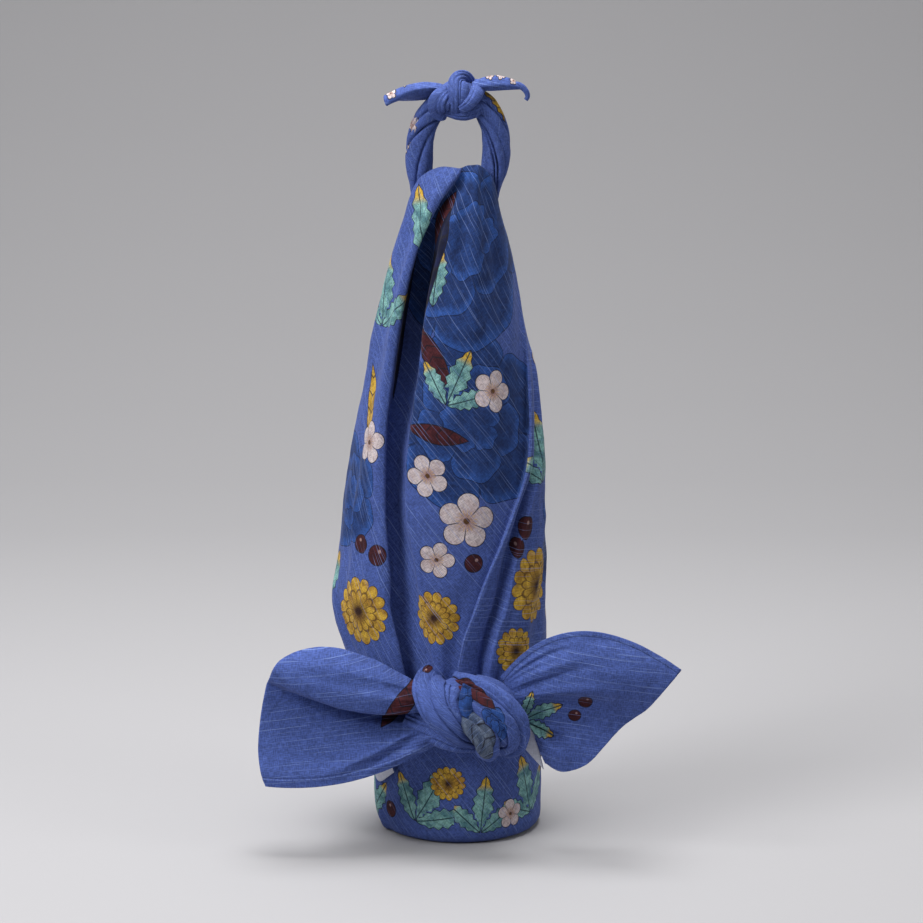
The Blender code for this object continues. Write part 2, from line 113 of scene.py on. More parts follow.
Relief = namedtuple("Relief", "height valley puff dip lap crease rear")
RELIEF = named_rows(
    Relief,
    (0, 0, 0, 0, 0, 0, 0),
    (40, 0, 0, 0, 0, 0, 0),
    (60, 3, 0.6, 0.6, 1, 0.8, 0.6),
    (92, 6, 1.2, 1, 2, 2.4, 1.8),
    (120, 7.5, 1.6, 1.2, 2.4, 2.9, 2),
    (165, 8.5, 1.4, 1.8, 2.2, 2.5, 2),
    (195, 10, 1.8, 3.2, 2, 1.9, 2),
    (229, 14, 2.2, 3, 1.2, 1, 2),
    (258, 15, 2.2, 1.4, 0.4, 0.4, 1.8),
    (285, 11, 2, 0.4, 0.2, 0.2, 1.6),
    (300, 6.5, 1.8, 0, 0, 0, 1.2),
    (314, 4.6, 1.6, 0, 0, 0, 0.6),
    (332, 2.4, 0.6, 0, 0, 0, 0),
)

# The top edge is two soft lobes between the handle's feet.
RIM_START = 296
Lobe = namedtuple("Lobe", "angle height")
RIM = named_rows(
    Lobe,
    (-180, 328),
    (-130, 327.5),
    (-92, 321.5),
    (-60, 328.5),
    (-28, 332),
    (-8, 331.8),
    (4, 331.2),
    (22, 332.6),
    (44, 332.4),
    (66, 328),
    (90, 320.5),
    (130, 327),
    (180, 328),
)

# Below this line the base's one layer shows, and above it the upper layer laps over it.
BELT_LAP = 1.1
BELT_EDGE, BELT_EDGE_FOOT = 1.6, 0.6  # the lap's edge rises over this width, from just below the line
BELT_FADE, BELT_TOP = 44, 46  # and the lap dies away over this height, up to here above the line
BELT = named_rows(
    Lobe,
    (-180, 47),
    (-120, 50),
    (-80, 46),
    (-50, 54),
    (-20, 62),
    (20, 64),
    (50, 60),
    (80, 54),
    (130, 50),
    (180, 47),
)

# Ridges (or troughs, where rise is negative) of this width along (height, angle) stops.
Soft = namedtuple("Soft", "rise width path")
Stop = namedtuple("Stop", "height angle")
SOFT_FOLDS = named_rows(
    Soft,
    # the fan at the top of the front
    (-1.5, 3, ((292, 2), (312, 6), (332, 12))),
    (1.4, 3.5, ((270, 14), (300, 20), (332, 26))),
    (-1.6, 4, ((262, 42), (300, 44), (332, 46))),
    # gathers towards the front knot
    (1.8, 3.5, ((84, -46), (104, -48), (132, -58), (160, -66))),
    (-2.2, 5, ((84, -62), (104, -70), (128, -84))),
    (1, 3, ((84, -9), (104, -8), (126, -8))),
    (1.6, 4, ((84, 40), (104, 44), (130, 56), (160, 74))),
    (-1.8, 5, ((84, 58), (104, 64), (130, 80))),
    # the base
    (1.6, 3, ((6, -66), (20, -70), (44, -76), (60, -78))),
    (1.2, 5, ((6, 150), (30, 140), (60, 128))),
    # the back
    (1.8, 6, ((70, 150), (120, 168), (170, 190), (220, 212), (270, 232))),
    (-1.4, 6, ((80, 190), (120, 196), (170, 206))),
    # the left side
    (1.6, 6, ((110, -108), (180, -98), (260, -84), (316, -70))),
    (-1.6, 7, ((120, -70), (180, -72), (250, -66), (300, -58))),
    # and finer creases, which the solid leaves out:
    # the top
    (-0.7, 1.4, ((312, 12), (322, 16), (334, 20))),
    (-0.7, 1.6, ((296, 30), (314, 32), (334, 35))),
    (0.6, 1.6, ((300, 54), (316, 55), (334, 56))),
    (-0.5, 1.6, ((312, -50), (322, -46), (334, -40))),
    (-0.5, 1.4, ((316, -24), (326, -18), (334, -12))),
    # long drapes down the front
    (-0.7, 4.5, ((170, 2), (210, 8), (262, 26))),
    (0.6, 5, ((150, -14), (200, -12), (250, -8), (290, -4))),
    (-0.6, 4, ((196, 34), (240, 40), (280, 52))),
    # pulls towards the front knot
    (0.9, 1.7, ((76, -36), (96, -39), (122, -46), (150, -50))),
    (-1, 1.5, ((76, -41), (96, -45), (120, -54), (146, -62))),
    (0.8, 2, ((78, -54), (98, -60), (120, -72))),
    (-0.8, 1.5, ((78, -14), (100, -15), (130, -17))),
    (-0.6, 1.6, ((78, -4), (96, -3), (116, 1))),
    (-0.9, 1.4, ((78, 22), (100, 28), (128, 38), (160, 56))),
    (0.9, 1.6, ((78, 27), (100, 34), (128, 46), (156, 62))),
    (-0.9, 1.8, ((78, 48), (98, 54), (120, 66))),
    # the base
    (-0.7, 1.3, ((8, -58), (24, -60), (46, -62))),
    (-0.6, 1.6, ((26, 34), (44, 40), (60, 52))),
    (0.5, 1.8, ((10, 62), (30, 66), (50, 74))),
    # the back
    (-0.9, 2.2, ((56, 110), (84, 132), (120, 150))),
    (0.9, 2.4, ((56, 118), (84, 141), (124, 162))),
    (-0.8, 2.6, ((54, 206), (86, 190), (126, 182))),
    (0.8, 2.2, ((54, 214), (86, 200), (126, 190))),
    (-0.8, 2, ((280, 128), (304, 132), (332, 138))),
    (0.7, 2.2, ((270, 196), (300, 192), (332, 186))),
    (-0.7, 2, ((286, 214), (306, 208), (332, 200))),
)

# How many of the sheet's columns lie between neighbouring fold lines.
SPANS = (7, 7, 7, 10, 8, 6, 5, 6, 6, 6, 4, 16, 13, 5, 3, 3, 6, 4, 5, 21, 18, 17, 11, 3)
ROLL_LINE, SEAM_LINE, VALLEY_LINE, HEM_LINE = 7, 8, 9, 15
LAP_LINES = (13, 17)  # the front hem lies on the cloth under it between these lines
REAR_COLUMNS = 4  # and the rear hem does in the last columns
FRONT_COLUMNS = 3  # and in the first ones, which follow them
SIDE = -97  # the angle of the body's left side
BASE_RADIUS = 42
PLAIN_FOOT = 66  # no hem is marked below this height
HEM_TURNED = 2.6  # how much of the body's hems, with their stitches, is turned under
BASE_RINGS = (0.04, 0.25, 0.5, 0.72, 0.88, 0.96)
BODY_GRAIN = {"left": -62, "front": -52, "right": -8, "base": -52}

# Bands of cloth along a line. Each row is x, y, z, width, thickness and turn.
LEFT_STRAND = (
    (-18.4, 2.5, 300, 8, 7, -10),
    (-17.6, 2, 311, 9.6, 10, 0),
    (-18.2, 1, 322, 11.6, 11.5, 10),
    (-19.3, 0.5, 334, 13.4, 12.5, 30),
    (-18.8, 0, 345, 13.2, 12, 55),
    (-15.9, 0, 354, 12.4, 12, 80),
    (-10, 0.5, 360.5, 12, 12, 100),
    (-3, 1, 364, 11, 11, 120),
)
RIGHT_STRAND = (
    (14.2, 2.5, 300, 8, 7, 10),
    (13.8, 2, 311, 9.6, 10, 0),
    (15, 1, 321, 11.2, 11.5, -10),
    (17.6, 0.5, 333, 13.6, 12.5, -30),
    (17.6, 0, 344, 13.6, 12, -55),
    (15, 0, 354, 13, 12, -80),
    (10.2, 0.5, 361, 12.6, 12, -100),
    (3, 1, 364, 11, 11, -120),
)
KNOT_LEFT_WRAP = (
    (-6, 8, 359, 9, 4, 0),
    (-7.5, 0, 359.2, 10, 4, 0),
    (-8.6, -6.4, 359.4, 12, 4.5, 0),
    (-8.4, -8.6, 362.8, 12.5, 4.5, 0),
    (-6.4, -6, 365.8, 10, 4.5, 0),
    (-4, 1.5, 367, 8, 4, 0),
    (-3, 7, 365, 9, 4, 0),
)
KNOT_TOP_WRAP = (
    (6, 5, 366, 9, 5, 0),
    (2.6, 0, 372.4, 9.6, 5.5, 0),
    (-0.4, -5.4, 372.2, 10, 5.5, 0),
    (-0.8, -9, 367, 9.6, 5, 0),
    (-0.8, -8.8, 361.2, 8.6, 4.5, 0),
    (-0.8, -5, 357.4, 8.6, 4, 0),
)
KNOT_RIGHT_WRAP = (
    (7.4, 5, 369, 7, 5, 0),
    (8.6, -2, 369, 7.5, 5, 0),
    (7.4, -7.4, 366, 6.8, 4.6, 0),
    (4.2, -10.4, 361.8, 5.6, 4, 0),
    (0.4, -9.8, 359.4, 4.2, 3.6, 0),
)
KNOT_UNDER_WRAP = (
    (-9, -2.5, 359, 6, 5, 0),
    (-3.5, -4, 357.4, 6, 5, 0),
    (2, -5.6, 356.8, 7, 6, 0),
    (7.6, -3.6, 358.6, 8, 7, 0),
    (11, 0, 361, 8, 7, 0),
)
FRONT_LEFT_WRAP = (
    (-8, -36, 80, 20, 6, 0),
    (-10.5, -45, 84, 24, 7, 0),
    (-11.5, -53.5, 82.5, 24, 8, 0),
    (-10, -59.5, 76, 20, 9, 0),
    (-4.5, -61.5, 68, 15, 8.5, 0),
    (1, -58.5, 61, 10.5, 7.5, 0),
    (6, -52, 56, 7, 6, 0),
)
FRONT_RIGHT_WRAP = (
    (-2, -45, 83, 14, 8, 0),
    (6.5, -55, 82.5, 16, 9, 0),
    (16, -61, 77, 19, 10, 0),
    (23.6, -62, 68.5, 19, 10, 0),
    (24.8, -57.5, 58.5, 16, 9, 0),
    (19.5, -48, 52.5, 13, 8, 0),
)
FRONT_TONGUE = (
    (-1, -56, 71.5, 8, 6, 0),
    (6, -62.5, 68.5, 11, 6, 0),
    (12.5, -65, 62, 11.5, 6.5, 0),
    (13.6, -62.5, 54.5, 10, 6.5, 0),
    (10, -54.5, 52, 6, 5, 0),
)
FRONT_UNDER_WRAP = (
    (-26, -47, 66, 12, 7, 0),
    (-14, -52.5, 62, 13, 8, 0),
    (-2, -55, 57.5, 11, 8, 0),
    (10, -50, 55, 9, 7, 0),
)
Heart = namedtuple("Heart", "x y z across deep high")
TOP_HEART = Heart(-0.5, 0.0, 364.0, 10.5, 8.5, 9.0)
FRONT_HEART = Heart(6.0, -47.0, 70.0, 24.0, 11.0, 19.0)

# Free corners. Each row is a ray of the cloth: its point at the knot, halfway and at the rim.
LEFT_WING = (
    ((-9, -52, 57), (-50, -61, 40), (-94, -58, 36)),
    ((-10, -55, 59.5), (-51, -60, 45.5), (-96.3, -57.5, 42.5)),
    ((-11, -57, 62), (-52, -55.5, 52), (-97.7, -54, 52)),
    ((-12, -54, 64.5), (-52, -50.5, 59), (-97.3, -51, 62)),
    ((-13, -49, 67), (-52, -47.5, 66), (-96, -49, 72.5)),
    ((-14, -47, 69), (-52, -47, 72.5), (-93.8, -48.5, 83)),
    ((-15.5, -52, 73), (-53, -56, 74), (-91.8, -51, 89)),
    ((-17, -54, 77.5), (-53.5, -61, 83), (-89.8, -52.5, 94)),
    ((-18.5, -51, 82), (-54, -58, 93.5), (-86, -51, 98)),
    ((-18, -45, 83), (-54, -48, 101.5), (-77.5, -46, 100.5)),
    ((-17, -42, 80), (-54, -41, 96), (-74, -38, 95)),
)
RIGHT_WING = (
    ((20, -44, 87), (58, -53, 112.4), (107, -54, 93.2)),
    ((22, -46, 84), (60, -57, 103), (103.5, -57, 89.5)),
    ((24, -47, 81), (61, -59.5, 93), (97, -58, 82)),
    ((26, -49, 77.5), (60, -58.5, 84), (90, -53, 72.5)),
    ((28, -50, 74), (57, -51, 74.5), (79.5, -49, 63.5)),
    ((30, -49, 70.5), (53, -47, 64.5), (70, -52, 54)),
    ((32, -50, 67.5), (49, -52.5, 56.5), (61, -56, 46)),
    ((33.5, -50, 65), (43.5, -56, 53), (50.5, -56, 43)),
    ((34.5, -49, 63), (38.6, -52, 53), (41.5, -51, 45.5)),
)
# A pointed fold of the cloth stands up between the front knot's two bands.
FRONT_PEAK = (
    ((1.5, -58, 66), (-0.5, -60.5, 78), (1.4, -58, 86.5)),
    ((5, -62, 66), (3.6, -63.5, 77), (2.2, -60, 88.2)),
    ((9.5, -59, 68), (8.6, -59.5, 78), (6.6, -57, 84.6)),
)
# Behind the knot's right side the cloth turns over, and a sliver of its wrong side shows.
TURNED_EDGE = (
    ((4, -43, 84), (13, -43.5, 74), (20, -45.5, 65)),
    ((30, -45, 80), (36.8, -50.2, 59), (41, -51.6, 43)),
)
# Under the left wing a corner of the inner layer peeps out, wrong side up.
TUCKED_EDGE = (
    ((-42.5, -8, 48), (-43.4, -9, 39), (-42.6, -12, 31)),
    ((-39.8, -19, 48), (-40.6, -19.5, 37), (-39.6, -21, 27)),
    ((-33, -30.5, 48), (-33.4, -31, 41), (-32, -31.5, 35)),
)
LEFT_TAIL = (
    ((-8, 1, 363.4), (-20, 1.5, 362.8), (-32, 0, 362.4)),
    ((-6, -3.5, 366.4), (-20, -5.5, 366.2), (-34.8, -6, 360.6)),
    ((-6, -6, 368.4), (-20, -7.5, 368.8), (-36.2, -6, 363)),
    ((-6, -4, 370), (-20, -4.5, 371.2), (-36.4, -4, 365.2)),
    ((-6, 0, 369.5), (-20, 0, 371), (-35.5, -1, 365.8)),
    ((-6, 1, 367), (-20, 1.5, 367), (-34, 0, 363.6)),
)
RIGHT_TAIL = (
    ((6, -1.5, 367.4), (18.5, -4, 367.7), (29.6, -2.6, 368.2)),
    ((6, -4.5, 369.4), (18.5, -6, 370.8), (30, -3.4, 369.2)),
    ((6, -2, 371.6), (18.5, -3, 375), (30.2, -2.2, 370.2)),
    ((6, 1, 370.8), (18.5, 0.5, 373.8), (30, -1, 369.8)),
    ((6, 1.5, 368.6), (18.5, 1, 369.5), (29.6, -1.2, 368.6)),
)
# The right tail's end.
TAIL_CURL = (
    (15, -2, 370.6, 5, 5.4, 0),
    (22, -2.2, 371.2, 3.6, 4.6, 0),
    (27.5, -2.2, 370.5, 2.8, 3.2, 0),
    (30.4, -2.4, 369.2, 2.8, 3, 0),
    (32.4, -2.4, 367, 2.6, 2.8, 0),
    (32.9, -2.2, 364.8, 2.2, 2.4, 0),
    (32, -2, 363.2, 1.8, 2, 0),
)

# ----------------------------------------------------------
# The print: a loose scatter of deep-blue peonies, long leaves, teal leaves, blossoms, asters and berries.
# Each row of SCATTER is a motif's kind, across, up, size and turn. across and up are millimetres on the
# stretch of cloth, size is half the motif's length, and turn is where it points, in degrees.

Motif = namedtuple("Motif", "kind stretch across up size turn")
PEONIES = ("under_peony", "peony")
LONG_LEAVES = ("maroon_leaf", "dusk_leaf", "gold_leaf")
INK_AND_SHADE_KIND = "ink_leaf"  # printed over the other motifs and the threads: a near-black leaf along the valley under the left flap, partly dark print and partly painted shade
KINDS = (*PEONIES, *LONG_LEAVES, INK_AND_SHADE_KIND, "leaf", "blossom", "aster", "berry")
SCATTER = {
    "front": (
        ("peony", 10, 297, 56, 84),
        ("under_peony", 22, 212, 46, 20),
        # a near-black leaf along the valley under the left flap: partly dark print, partly painted shade of
        # the valley
        ("ink_leaf", -11, 264, 50, 79),
        ("leaf", 2, 280, 14, 97),
        ("maroon_leaf", 5, 243, 17, -62),
        ("maroon_leaf", 4, 206, 16, -12),
        ("maroon_leaf", -7, 307, 15, 68),
        ("blossom", 16, 164, 14.5, 10),
        ("blossom", -2, 186, 11, 40),
        ("blossom", 1, 145, 9.5, 70),
        ("blossom", 34, 226, 11, 65),
        ("berry", 19, 143, 5, 0),
        ("aster", -2, 116, 13.5, 0),
    ),
    "left": (
        # a near-black leaf on the wall under the flap's lip: partly dark print, partly painted shade of the
        # valley
        ("ink_leaf", -12, 264, 50, 79),
        ("gold_leaf", -52, 212, 24, 96),
        ("leaf", -19, 306, 18, 101),
        ("blossom", -47, 199, 11, 15),
        ("peony", -68, 172, 30, 108),
        ("aster", -48, 116, 17, 0),
        ("berry", -38, 145, 5.6, 10),
        ("berry", -49, 149, 5, 70),
        ("blossom", -104, 214, 15, 30),
    ),
    "right": (
        ("aster", 54, 128, 19, 0),
        ("aster", 36, 98, 12, 20),
        ("berry", 47, 158, 6.2, 30),
        ("berry", 40, 149, 5.4, 80),
        ("peony", 98, 152, 38, 70),
        ("blossom", 86, 104, 15, 0),
        ("aster", 94, 214, 15, 0),
        ("blossom", 72, 238, 12, 50),
        ("under_peony", 84, 280, 38, 96),
        ("berry", 108, 236, 6.2, 10),
        ("berry", 100, 246, 5.4, 60),
        ("aster", 148, 150, 14, 0),
    ),
    "left_wing": (
        ("maroon_leaf", 28, 76, 17, 128),
    ),
    "front_tongue": (
        ("dusk_leaf", 0, 12, 26, 90),
    ),
    "front_peak": (
        ("peony", 4, 77, 17, 90),
    ),
    "right_wing": (
        ("berry", 61, 77, 3.8, 10),
        ("berry", 56, 69, 3.4, 10),
    ),
    "front_right_wrap": (
        ("maroon_leaf", 3, 12, 20, 96),
        ("peony", -7, 34, 10, 70),
        ("maroon_leaf", -13, 44, 13, 84),
    ),
    "front_left_wrap": (
        ("berry", -11, 16, 4, 0),
    ),
    "left_strand": (
        ("blossom", 9, 56, 5, 0),
        ("blossom", 9, 42, 4, 30),
    ),
    "right_strand": (
        ("gold_leaf", -9.5, 68, 12, 88),
    ),
    "right_tail": (
        ("blossom", 14.5, 375, 2.4, 0),
        ("blossom", 20, 375.5, 2.8, 40),
        ("blossom", 26, 372.5, 2.2, 10),
    ),
    "left_tail": (
        ("blossom", 33, 366.5, 3, 0),
        ("blossom", 27, 371.5, 2.4, 30),
    ),
}

Fan = namedtuple("Fan", "stretch across up size turn")
FANS = named_rows(
    Fan,
    ("front", 10, 220, 15, 62),
    ("front", 20, 118, 14, -20),
    ("left", -47, 254, 19, 84),
    ("left", -86, 112, 19, 120),
    ("left", -88, 262, 17, 70),
    ("right", 60, 178, 18, 96),
    ("right", 122, 104, 21, 50),
    ("right", 124, 184, 20, 120),
    ("right_wing", 31, 67, 10.5, 22),
)
FAN_LEAVES = ((0, 1.0), (52, 0.78), (-50, 0.82))  # how far each leans, and its share of the size
GARLAND_FANS = 8
GARLAND_REACH = 266  # about once round the base
GARLAND_START = 0.46
GARLAND_BETWEEN = (("aster", 9), ("blossom", 8), ("berry", 4.6))


def mix(a, b, share):
    return a + (b - a) * share


def smooth_step(value):
    share = np.clip(value, 0.0, 1.0)
    return share * share * (3 - 2 * share)


def fan_leaves(fan):
    """Three leaves that spread from one foot, the middle one longest."""
    leaves = []
    for lean, share in FAN_LEAVES:
        turn = fan.turn + lean
        size = fan.size * share
        across = fan.across + size * math.cos(math.radians(turn))
        up = fan.up + size * math.sin(math.radians(turn))
        leaves.append(Motif("leaf", fan.stretch, across, up, size, turn))
    return leaves


def garland():
    """A ring of leaf fans round the base, with asters, blossoms and berries between them."""
    motifs = []
    for index in range(GARLAND_FANS):
        across = (index / GARLAND_FANS - GARLAND_START) * GARLAND_REACH
        lean = 84 + 24 * (index % 3 - 1)
        motifs += fan_leaves(Fan("base", across, 6 + 5 * (index % 2), 15 + 2 * (index % 2), lean))
        kind, size = GARLAND_BETWEEN[index % 3]
        motifs.append(Motif(kind, "base", across + 17, 14 + 18 * (index % 2), size, 23 * index))
    return motifs


def design():
    """Every motif of the print."""
    motifs = [Motif(kind, stretch, *place) for stretch, group in SCATTER.items() for kind, *place in group]
    for fan in FANS:
        motifs += fan_leaves(fan)
    return motifs + garland()


DESIGN = design()


def hermite(start, leaving, end, arriving, share):
    """The curve from start to end with these slopes at its ends."""
    return (
        start * (2 * share**3 - 3 * share**2 + 1)
        + leaving * (share**3 - 2 * share**2 + share)
        + end * (3 * share**2 - 2 * share**3)
        + arriving * (share**3 - share**2)
    )


def read(table, key):
    """The table's row at this value of its first column, blended smoothly between the rows given."""
    keys = [row[0] for row in table]
    key = min(max(key, keys[0]), keys[-1])
    step = max(index for index in range(len(keys) - 1) if keys[index] <= key)
    low, high = table[step], table[step + 1]
    gap = high[0] - low[0]
    share = (key - low[0]) / gap
    below = table[max(step - 1, 0)]
    above = table[min(step + 2, len(table) - 1)]
    values = [key]
    for column in range(1, len(low)):
        slope_low = (high[column] - below[column]) / max(high[0] - below[0], 1e-9) * gap
        slope_high = (above[column] - low[column]) / max(above[0] - low[0], 1e-9) * gap
        values.append(hermite(low[column], slope_low, high[column], slope_high, share))
    return type(low)(*values)


def cubic(before, start, end, after, share):
    """The Catmull-Rom curve between start and end."""
    return 0.5 * (
        2 * start
        + (end - before) * share
        + (2 * before - 5 * start + 4 * end - after) * share**2
        + (3 * start - before - 3 * end + after) * share**3
    )


def gentle(before, start, end, after, share):
    """A curve between start and end that never runs past either, for unevenly spaced lines."""
    past, here, ahead = start - before, end - start, after - end

    def slope(first, second):
        least = 1.6 * np.minimum(np.abs(first), np.abs(second))
        return np.where(first * second > 0, np.clip(0.5 * (first + second), -least, least), 0.0)

    return hermite(start, slope(past, here), end, slope(here, ahead), share)


def through(points, places):
    """The points at these places (0 to 1) of a smooth curve through points, an array of rows."""
    points = np.asarray(points, float)
    ends = np.vstack([2 * points[0] - points[1], points, 2 * points[-1] - points[-2]])
    last = len(points) - 1
    step = np.minimum((np.asarray(places) * last).astype(int), last - 1)
    share = (np.asarray(places) * last - step)[:, None]
    return cubic(ends[step], ends[step + 1], ends[step + 2], ends[step + 3], share)


def lobe_heights(table, angles):
    """The height that a table of lobes gives at each of these angles, in any turn."""
    keys = [lobe.angle for lobe in table]
    turned = (np.asarray(angles) + 180) % 360 - 180
    samples = np.linspace(keys[0], keys[-1], 181)
    return np.interp(turned, samples, [read(table, sample).height for sample in samples])


def unevenness(points, ripples):
    """Slow, seedless ripples over an array of points, in millimetres."""
    total = 0
    for scale, depth in ripples:
        ripple = [noise.noise(Vector(point) / scale) for point in points.reshape(-1, 3)]
        total = total + np.array(ripple).reshape(points.shape[:-1]) * depth
    return total


def row_normals(points, loop):
    """Unit normals of a grid of points, which face out where the columns run right and the rows run up."""
    if loop:
        across = np.roll(points, -1, axis=1) - np.roll(points, 1, axis=1)
    else:
        across = np.gradient(points, axis=1)
    along = np.gradient(points, axis=0)
    normals = np.cross(across, along)
    return normals / np.maximum(np.linalg.norm(normals, axis=2, keepdims=True), 1e-9)


def loop_normals(points):
    """Unit normals of a grid whose last column repeats its first."""
    normals = row_normals(points[:, :-1], loop=True)
    return np.concatenate([normals, normals[:, :1]], axis=1)


def lengths(points, axis):
    """How far each point of a grid is along its row (axis 1) or column (axis 0)."""
    steps = np.linalg.norm(np.diff(points, axis=axis), axis=2)
    pad = ((0, 0), (1, 0)) if axis == 1 else ((1, 0), (0, 0))
    return np.cumsum(np.pad(steps, pad), axis=axis)


# ----------------------------------------------------------
# Meshes: a grid of points becomes a sheet, whose corners carry the cloth's own coordinates.


def corners(grid):
    """A grid's values, laid out for the four corners of each of its faces."""
    return np.stack([grid[:-1, :-1], grid[:-1, 1:], grid[1:, 1:], grid[1:, :-1]], axis=2)


def turned(places, degrees):
    """How far places lie along and across a direction."""
    turn = math.radians(degrees)
    x, y = places[..., 0], places[..., 1]
    return x * math.cos(turn) + y * math.sin(turn), y * math.cos(turn) - x * math.sin(turn)


def motif_frames(flat, stretch, kind):
    """For each corner (faces, 4, 2) its place in the nearest motif of this kind: along, across and size."""
    motifs = [motif for motif in DESIGN if motif.kind == kind and motif.stretch == stretch]
    frames = np.full(flat.shape[:2] + (3,), float(NO_MOTIF))
    if not motifs:
        return frames
    middles = flat.mean(axis=1)
    offsets = middles[:, None, :] - np.array([[motif.across, motif.up] for motif in motifs])
    sizes = np.array([motif.size for motif in motifs])
    nearest = np.argmin(np.linalg.norm(offsets, axis=2) / sizes, axis=1)
    for index, motif in enumerate(motifs):
        chosen = nearest == index
        local = (flat[chosen] - (motif.across, motif.up)) / motif.size
        frames[chosen, :, 0], frames[chosen, :, 1] = turned(local, motif.turn)
        frames[chosen, :, 2] = motif.size
    return frames


def add_corner_data(mesh, name, values):
    layer = mesh.attributes.new(name, "FLOAT_VECTOR", "CORNER")
    layer.data.foreach_set("vector", np.ascontiguousarray(values, np.float32).ravel())


def add_object(name, data):
    obj = bpy.data.objects.new(name, data)
    bpy.context.scene.collection.objects.link(obj)
    return obj


def grid_faces(rows, columns, used):
    """The four points of each face of a grid. Where used is one short, the last column is the first one."""
    down, side = np.meshgrid(np.arange(rows - 1), np.arange(columns - 1), indexing="ij")
    right = (side + 1) % used
    above, below = (down + 1) * used, down * used
    return np.stack([below + side, below + right, above + right, above + side], axis=2).reshape(-1, 4)


def cloth_data(flat, stretch_of, grain, order):
    """What each face's corners carry: their places along the threads and in each kind of motif."""
    data = {"print_" + kind: np.zeros((len(stretch_of), 4, 3)) for kind in KINDS}
    data["thread"] = np.zeros((len(stretch_of), 4, 3))
    for number, stretch in enumerate(sorted(set(stretch_of))):
        chosen = stretch_of == stretch
        placed = corners(flat[stretch] if isinstance(flat, dict) else flat)
        placed = placed.reshape(-1, 4, 2)[chosen][:, order]
        along, across = turned(placed, grain[stretch] if isinstance(grain, dict) else grain)
        apart = np.full_like(along, STRETCH_APART * number)
        data["thread"][chosen] = np.stack([along, across, apart], axis=2)
        for kind in KINDS:
            data["print_" + kind][chosen] = motif_frames(placed, stretch, kind)
    return data


def sheet_object(name, points, flat, stretch_of, grain, hem=None, loop=False, cap=False, flip=False):
    """A mesh object from a grid of points in millimetres.

    flat holds each point's place on its stretch of flat cloth, stretch_of each face's stretch, grain the
    thread's direction on each stretch in degrees, and hem each point's distance from and along the hem.
    """
    rows, columns = points.shape[:2]
    used = columns - 1 if loop else columns
    order = [3, 2, 1, 0] if flip else [0, 1, 2, 3]
    faces = grid_faces(rows, columns, used)[:, order].tolist()
    if cap:
        faces.append(list(range(used))[::-1])
    mesh = bpy.data.meshes.new(name)
    mesh.from_pydata((points[:, :used].reshape(-1, 3) * MM).tolist(), [], faces)
    mesh.shade_smooth()

    stretch_of = np.broadcast_to(np.array(stretch_of, dtype=object), (rows - 1, columns - 1)).reshape(-1)
    data = cloth_data(flat, stretch_of, grain, order)
    edge = np.full((rows, columns, 3), float(FAR))
    if hem is not None:
        edge[..., :2] = hem
    data["hem"] = corners(edge).reshape(-1, 4, 3)[:, order]
    spare = np.full((used if cap else 0, 3), float(NO_MOTIF))
    for layer, values in data.items():
        add_corner_data(mesh, layer, np.concatenate([values.reshape(-1, 3), spare]))
    return add_object(name, mesh)


def thicken(obj, thickness, thin=()):
    """A real thickness behind the printed side, with the reverse on its inner face.

    thin lists the points beside a turned hem, where the cloth lies against itself.
    """
    shell = obj.modifiers.new("Cloth thickness", "SOLIDIFY")
    if len(thin):
        group = obj.vertex_groups.new(name="thickness")
        group.add(list(range(len(obj.data.vertices))), 1.0, "REPLACE")
        group.add(thin, THIN_SHARE, "REPLACE")
        shell.vertex_group = group.name
    shell.thickness = thickness * MM
    shell.offset = -1.0
    shell.material_offset = 1


# ----------------------------------------------------------
# The draped body.


def body_anchors(height):
    """The section's control points, from the rear hem round by the left: (angle, out, aside)."""
    row = read(BODY, height)
    relief = read(RELIEF, height)
    degree = math.radians(1) * 0.5 * (row.front + row.left)  # of arc, in millimetres
    valley = 1.25 * relief.valley
    reach = mix(0.90, 0.62, float(smooth_step((height - 185) / 50)))
    tuck = valley * reach * (1 - float(smooth_step((height - 308) / 18)))  # how far the flap overhangs
    panel = row.hem - row.valley  # the front panel, between the valley and the hem
    rise = min(4.2 / degree, 0.22 * panel)
    dip = min(6 / degree, 0.22 * panel)
    lap = float(smooth_step(relief.lap / 1.6))  # how far the hem hides the cloth beneath
    back = float(smooth_step(relief.rear / 1.4))
    return (
        (row.rear - 360 + mix(0.6, -1.4, back) / degree, -0.2 * relief.rear, 0),
        (mix(row.rear - 360, SIDE, 0.33), 0, 0),
        (mix(row.rear - 360, SIDE, 0.66), 0, 0),
        (SIDE, 0, 0),
        (mix(SIDE, row.roll, 0.40), 0, 0),
        (mix(SIDE, row.roll, 0.74), 0.5 * relief.puff, 0),
        (row.roll - 3 / degree, relief.puff, 0),
        (row.roll, -0.04 * valley, 0),
        (mix(row.roll, row.valley, 0.40), -0.62 * valley, -tuck),
        (row.valley, -valley, -0.7 * tuck),
        (row.valley + rise, -0.55 * valley, 0),
        (row.valley + 2.1 * rise, 0.03 * valley, 0),
        (mix(row.valley + 2.1 * rise, row.hem - dip, 0.5), 0, 0),
        (row.hem - dip, -relief.dip, 0),
        (row.hem + mix(-2.4, 1.4, lap) / degree, -0.4 * relief.dip - 0.2 * relief.lap, 0),
        (row.hem - 0.5 * lap / degree, 0.5 * relief.lap, 0),
        (row.hem + mix(2.4, 1.4, lap) / degree, relief.lap, 0),
        (mix(row.hem, row.fold, 0.62), 0.2 * relief.lap - 0.3 * relief.crease, 0),
        (row.fold, -1.5 * relief.crease, 0),
        (row.fold + 3.4 / degree, 1.1 * relief.crease, 0),
        (mix(row.fold, row.rear, 0.30), 0, 0),
        (mix(row.fold, row.rear, 0.58), 0, 0),
        (mix(row.fold, row.rear, 0.85), 0.4 * relief.rear, 0),
        (row.rear + mix(-3.0, -1.0, back) / degree, relief.rear, 0),
    )


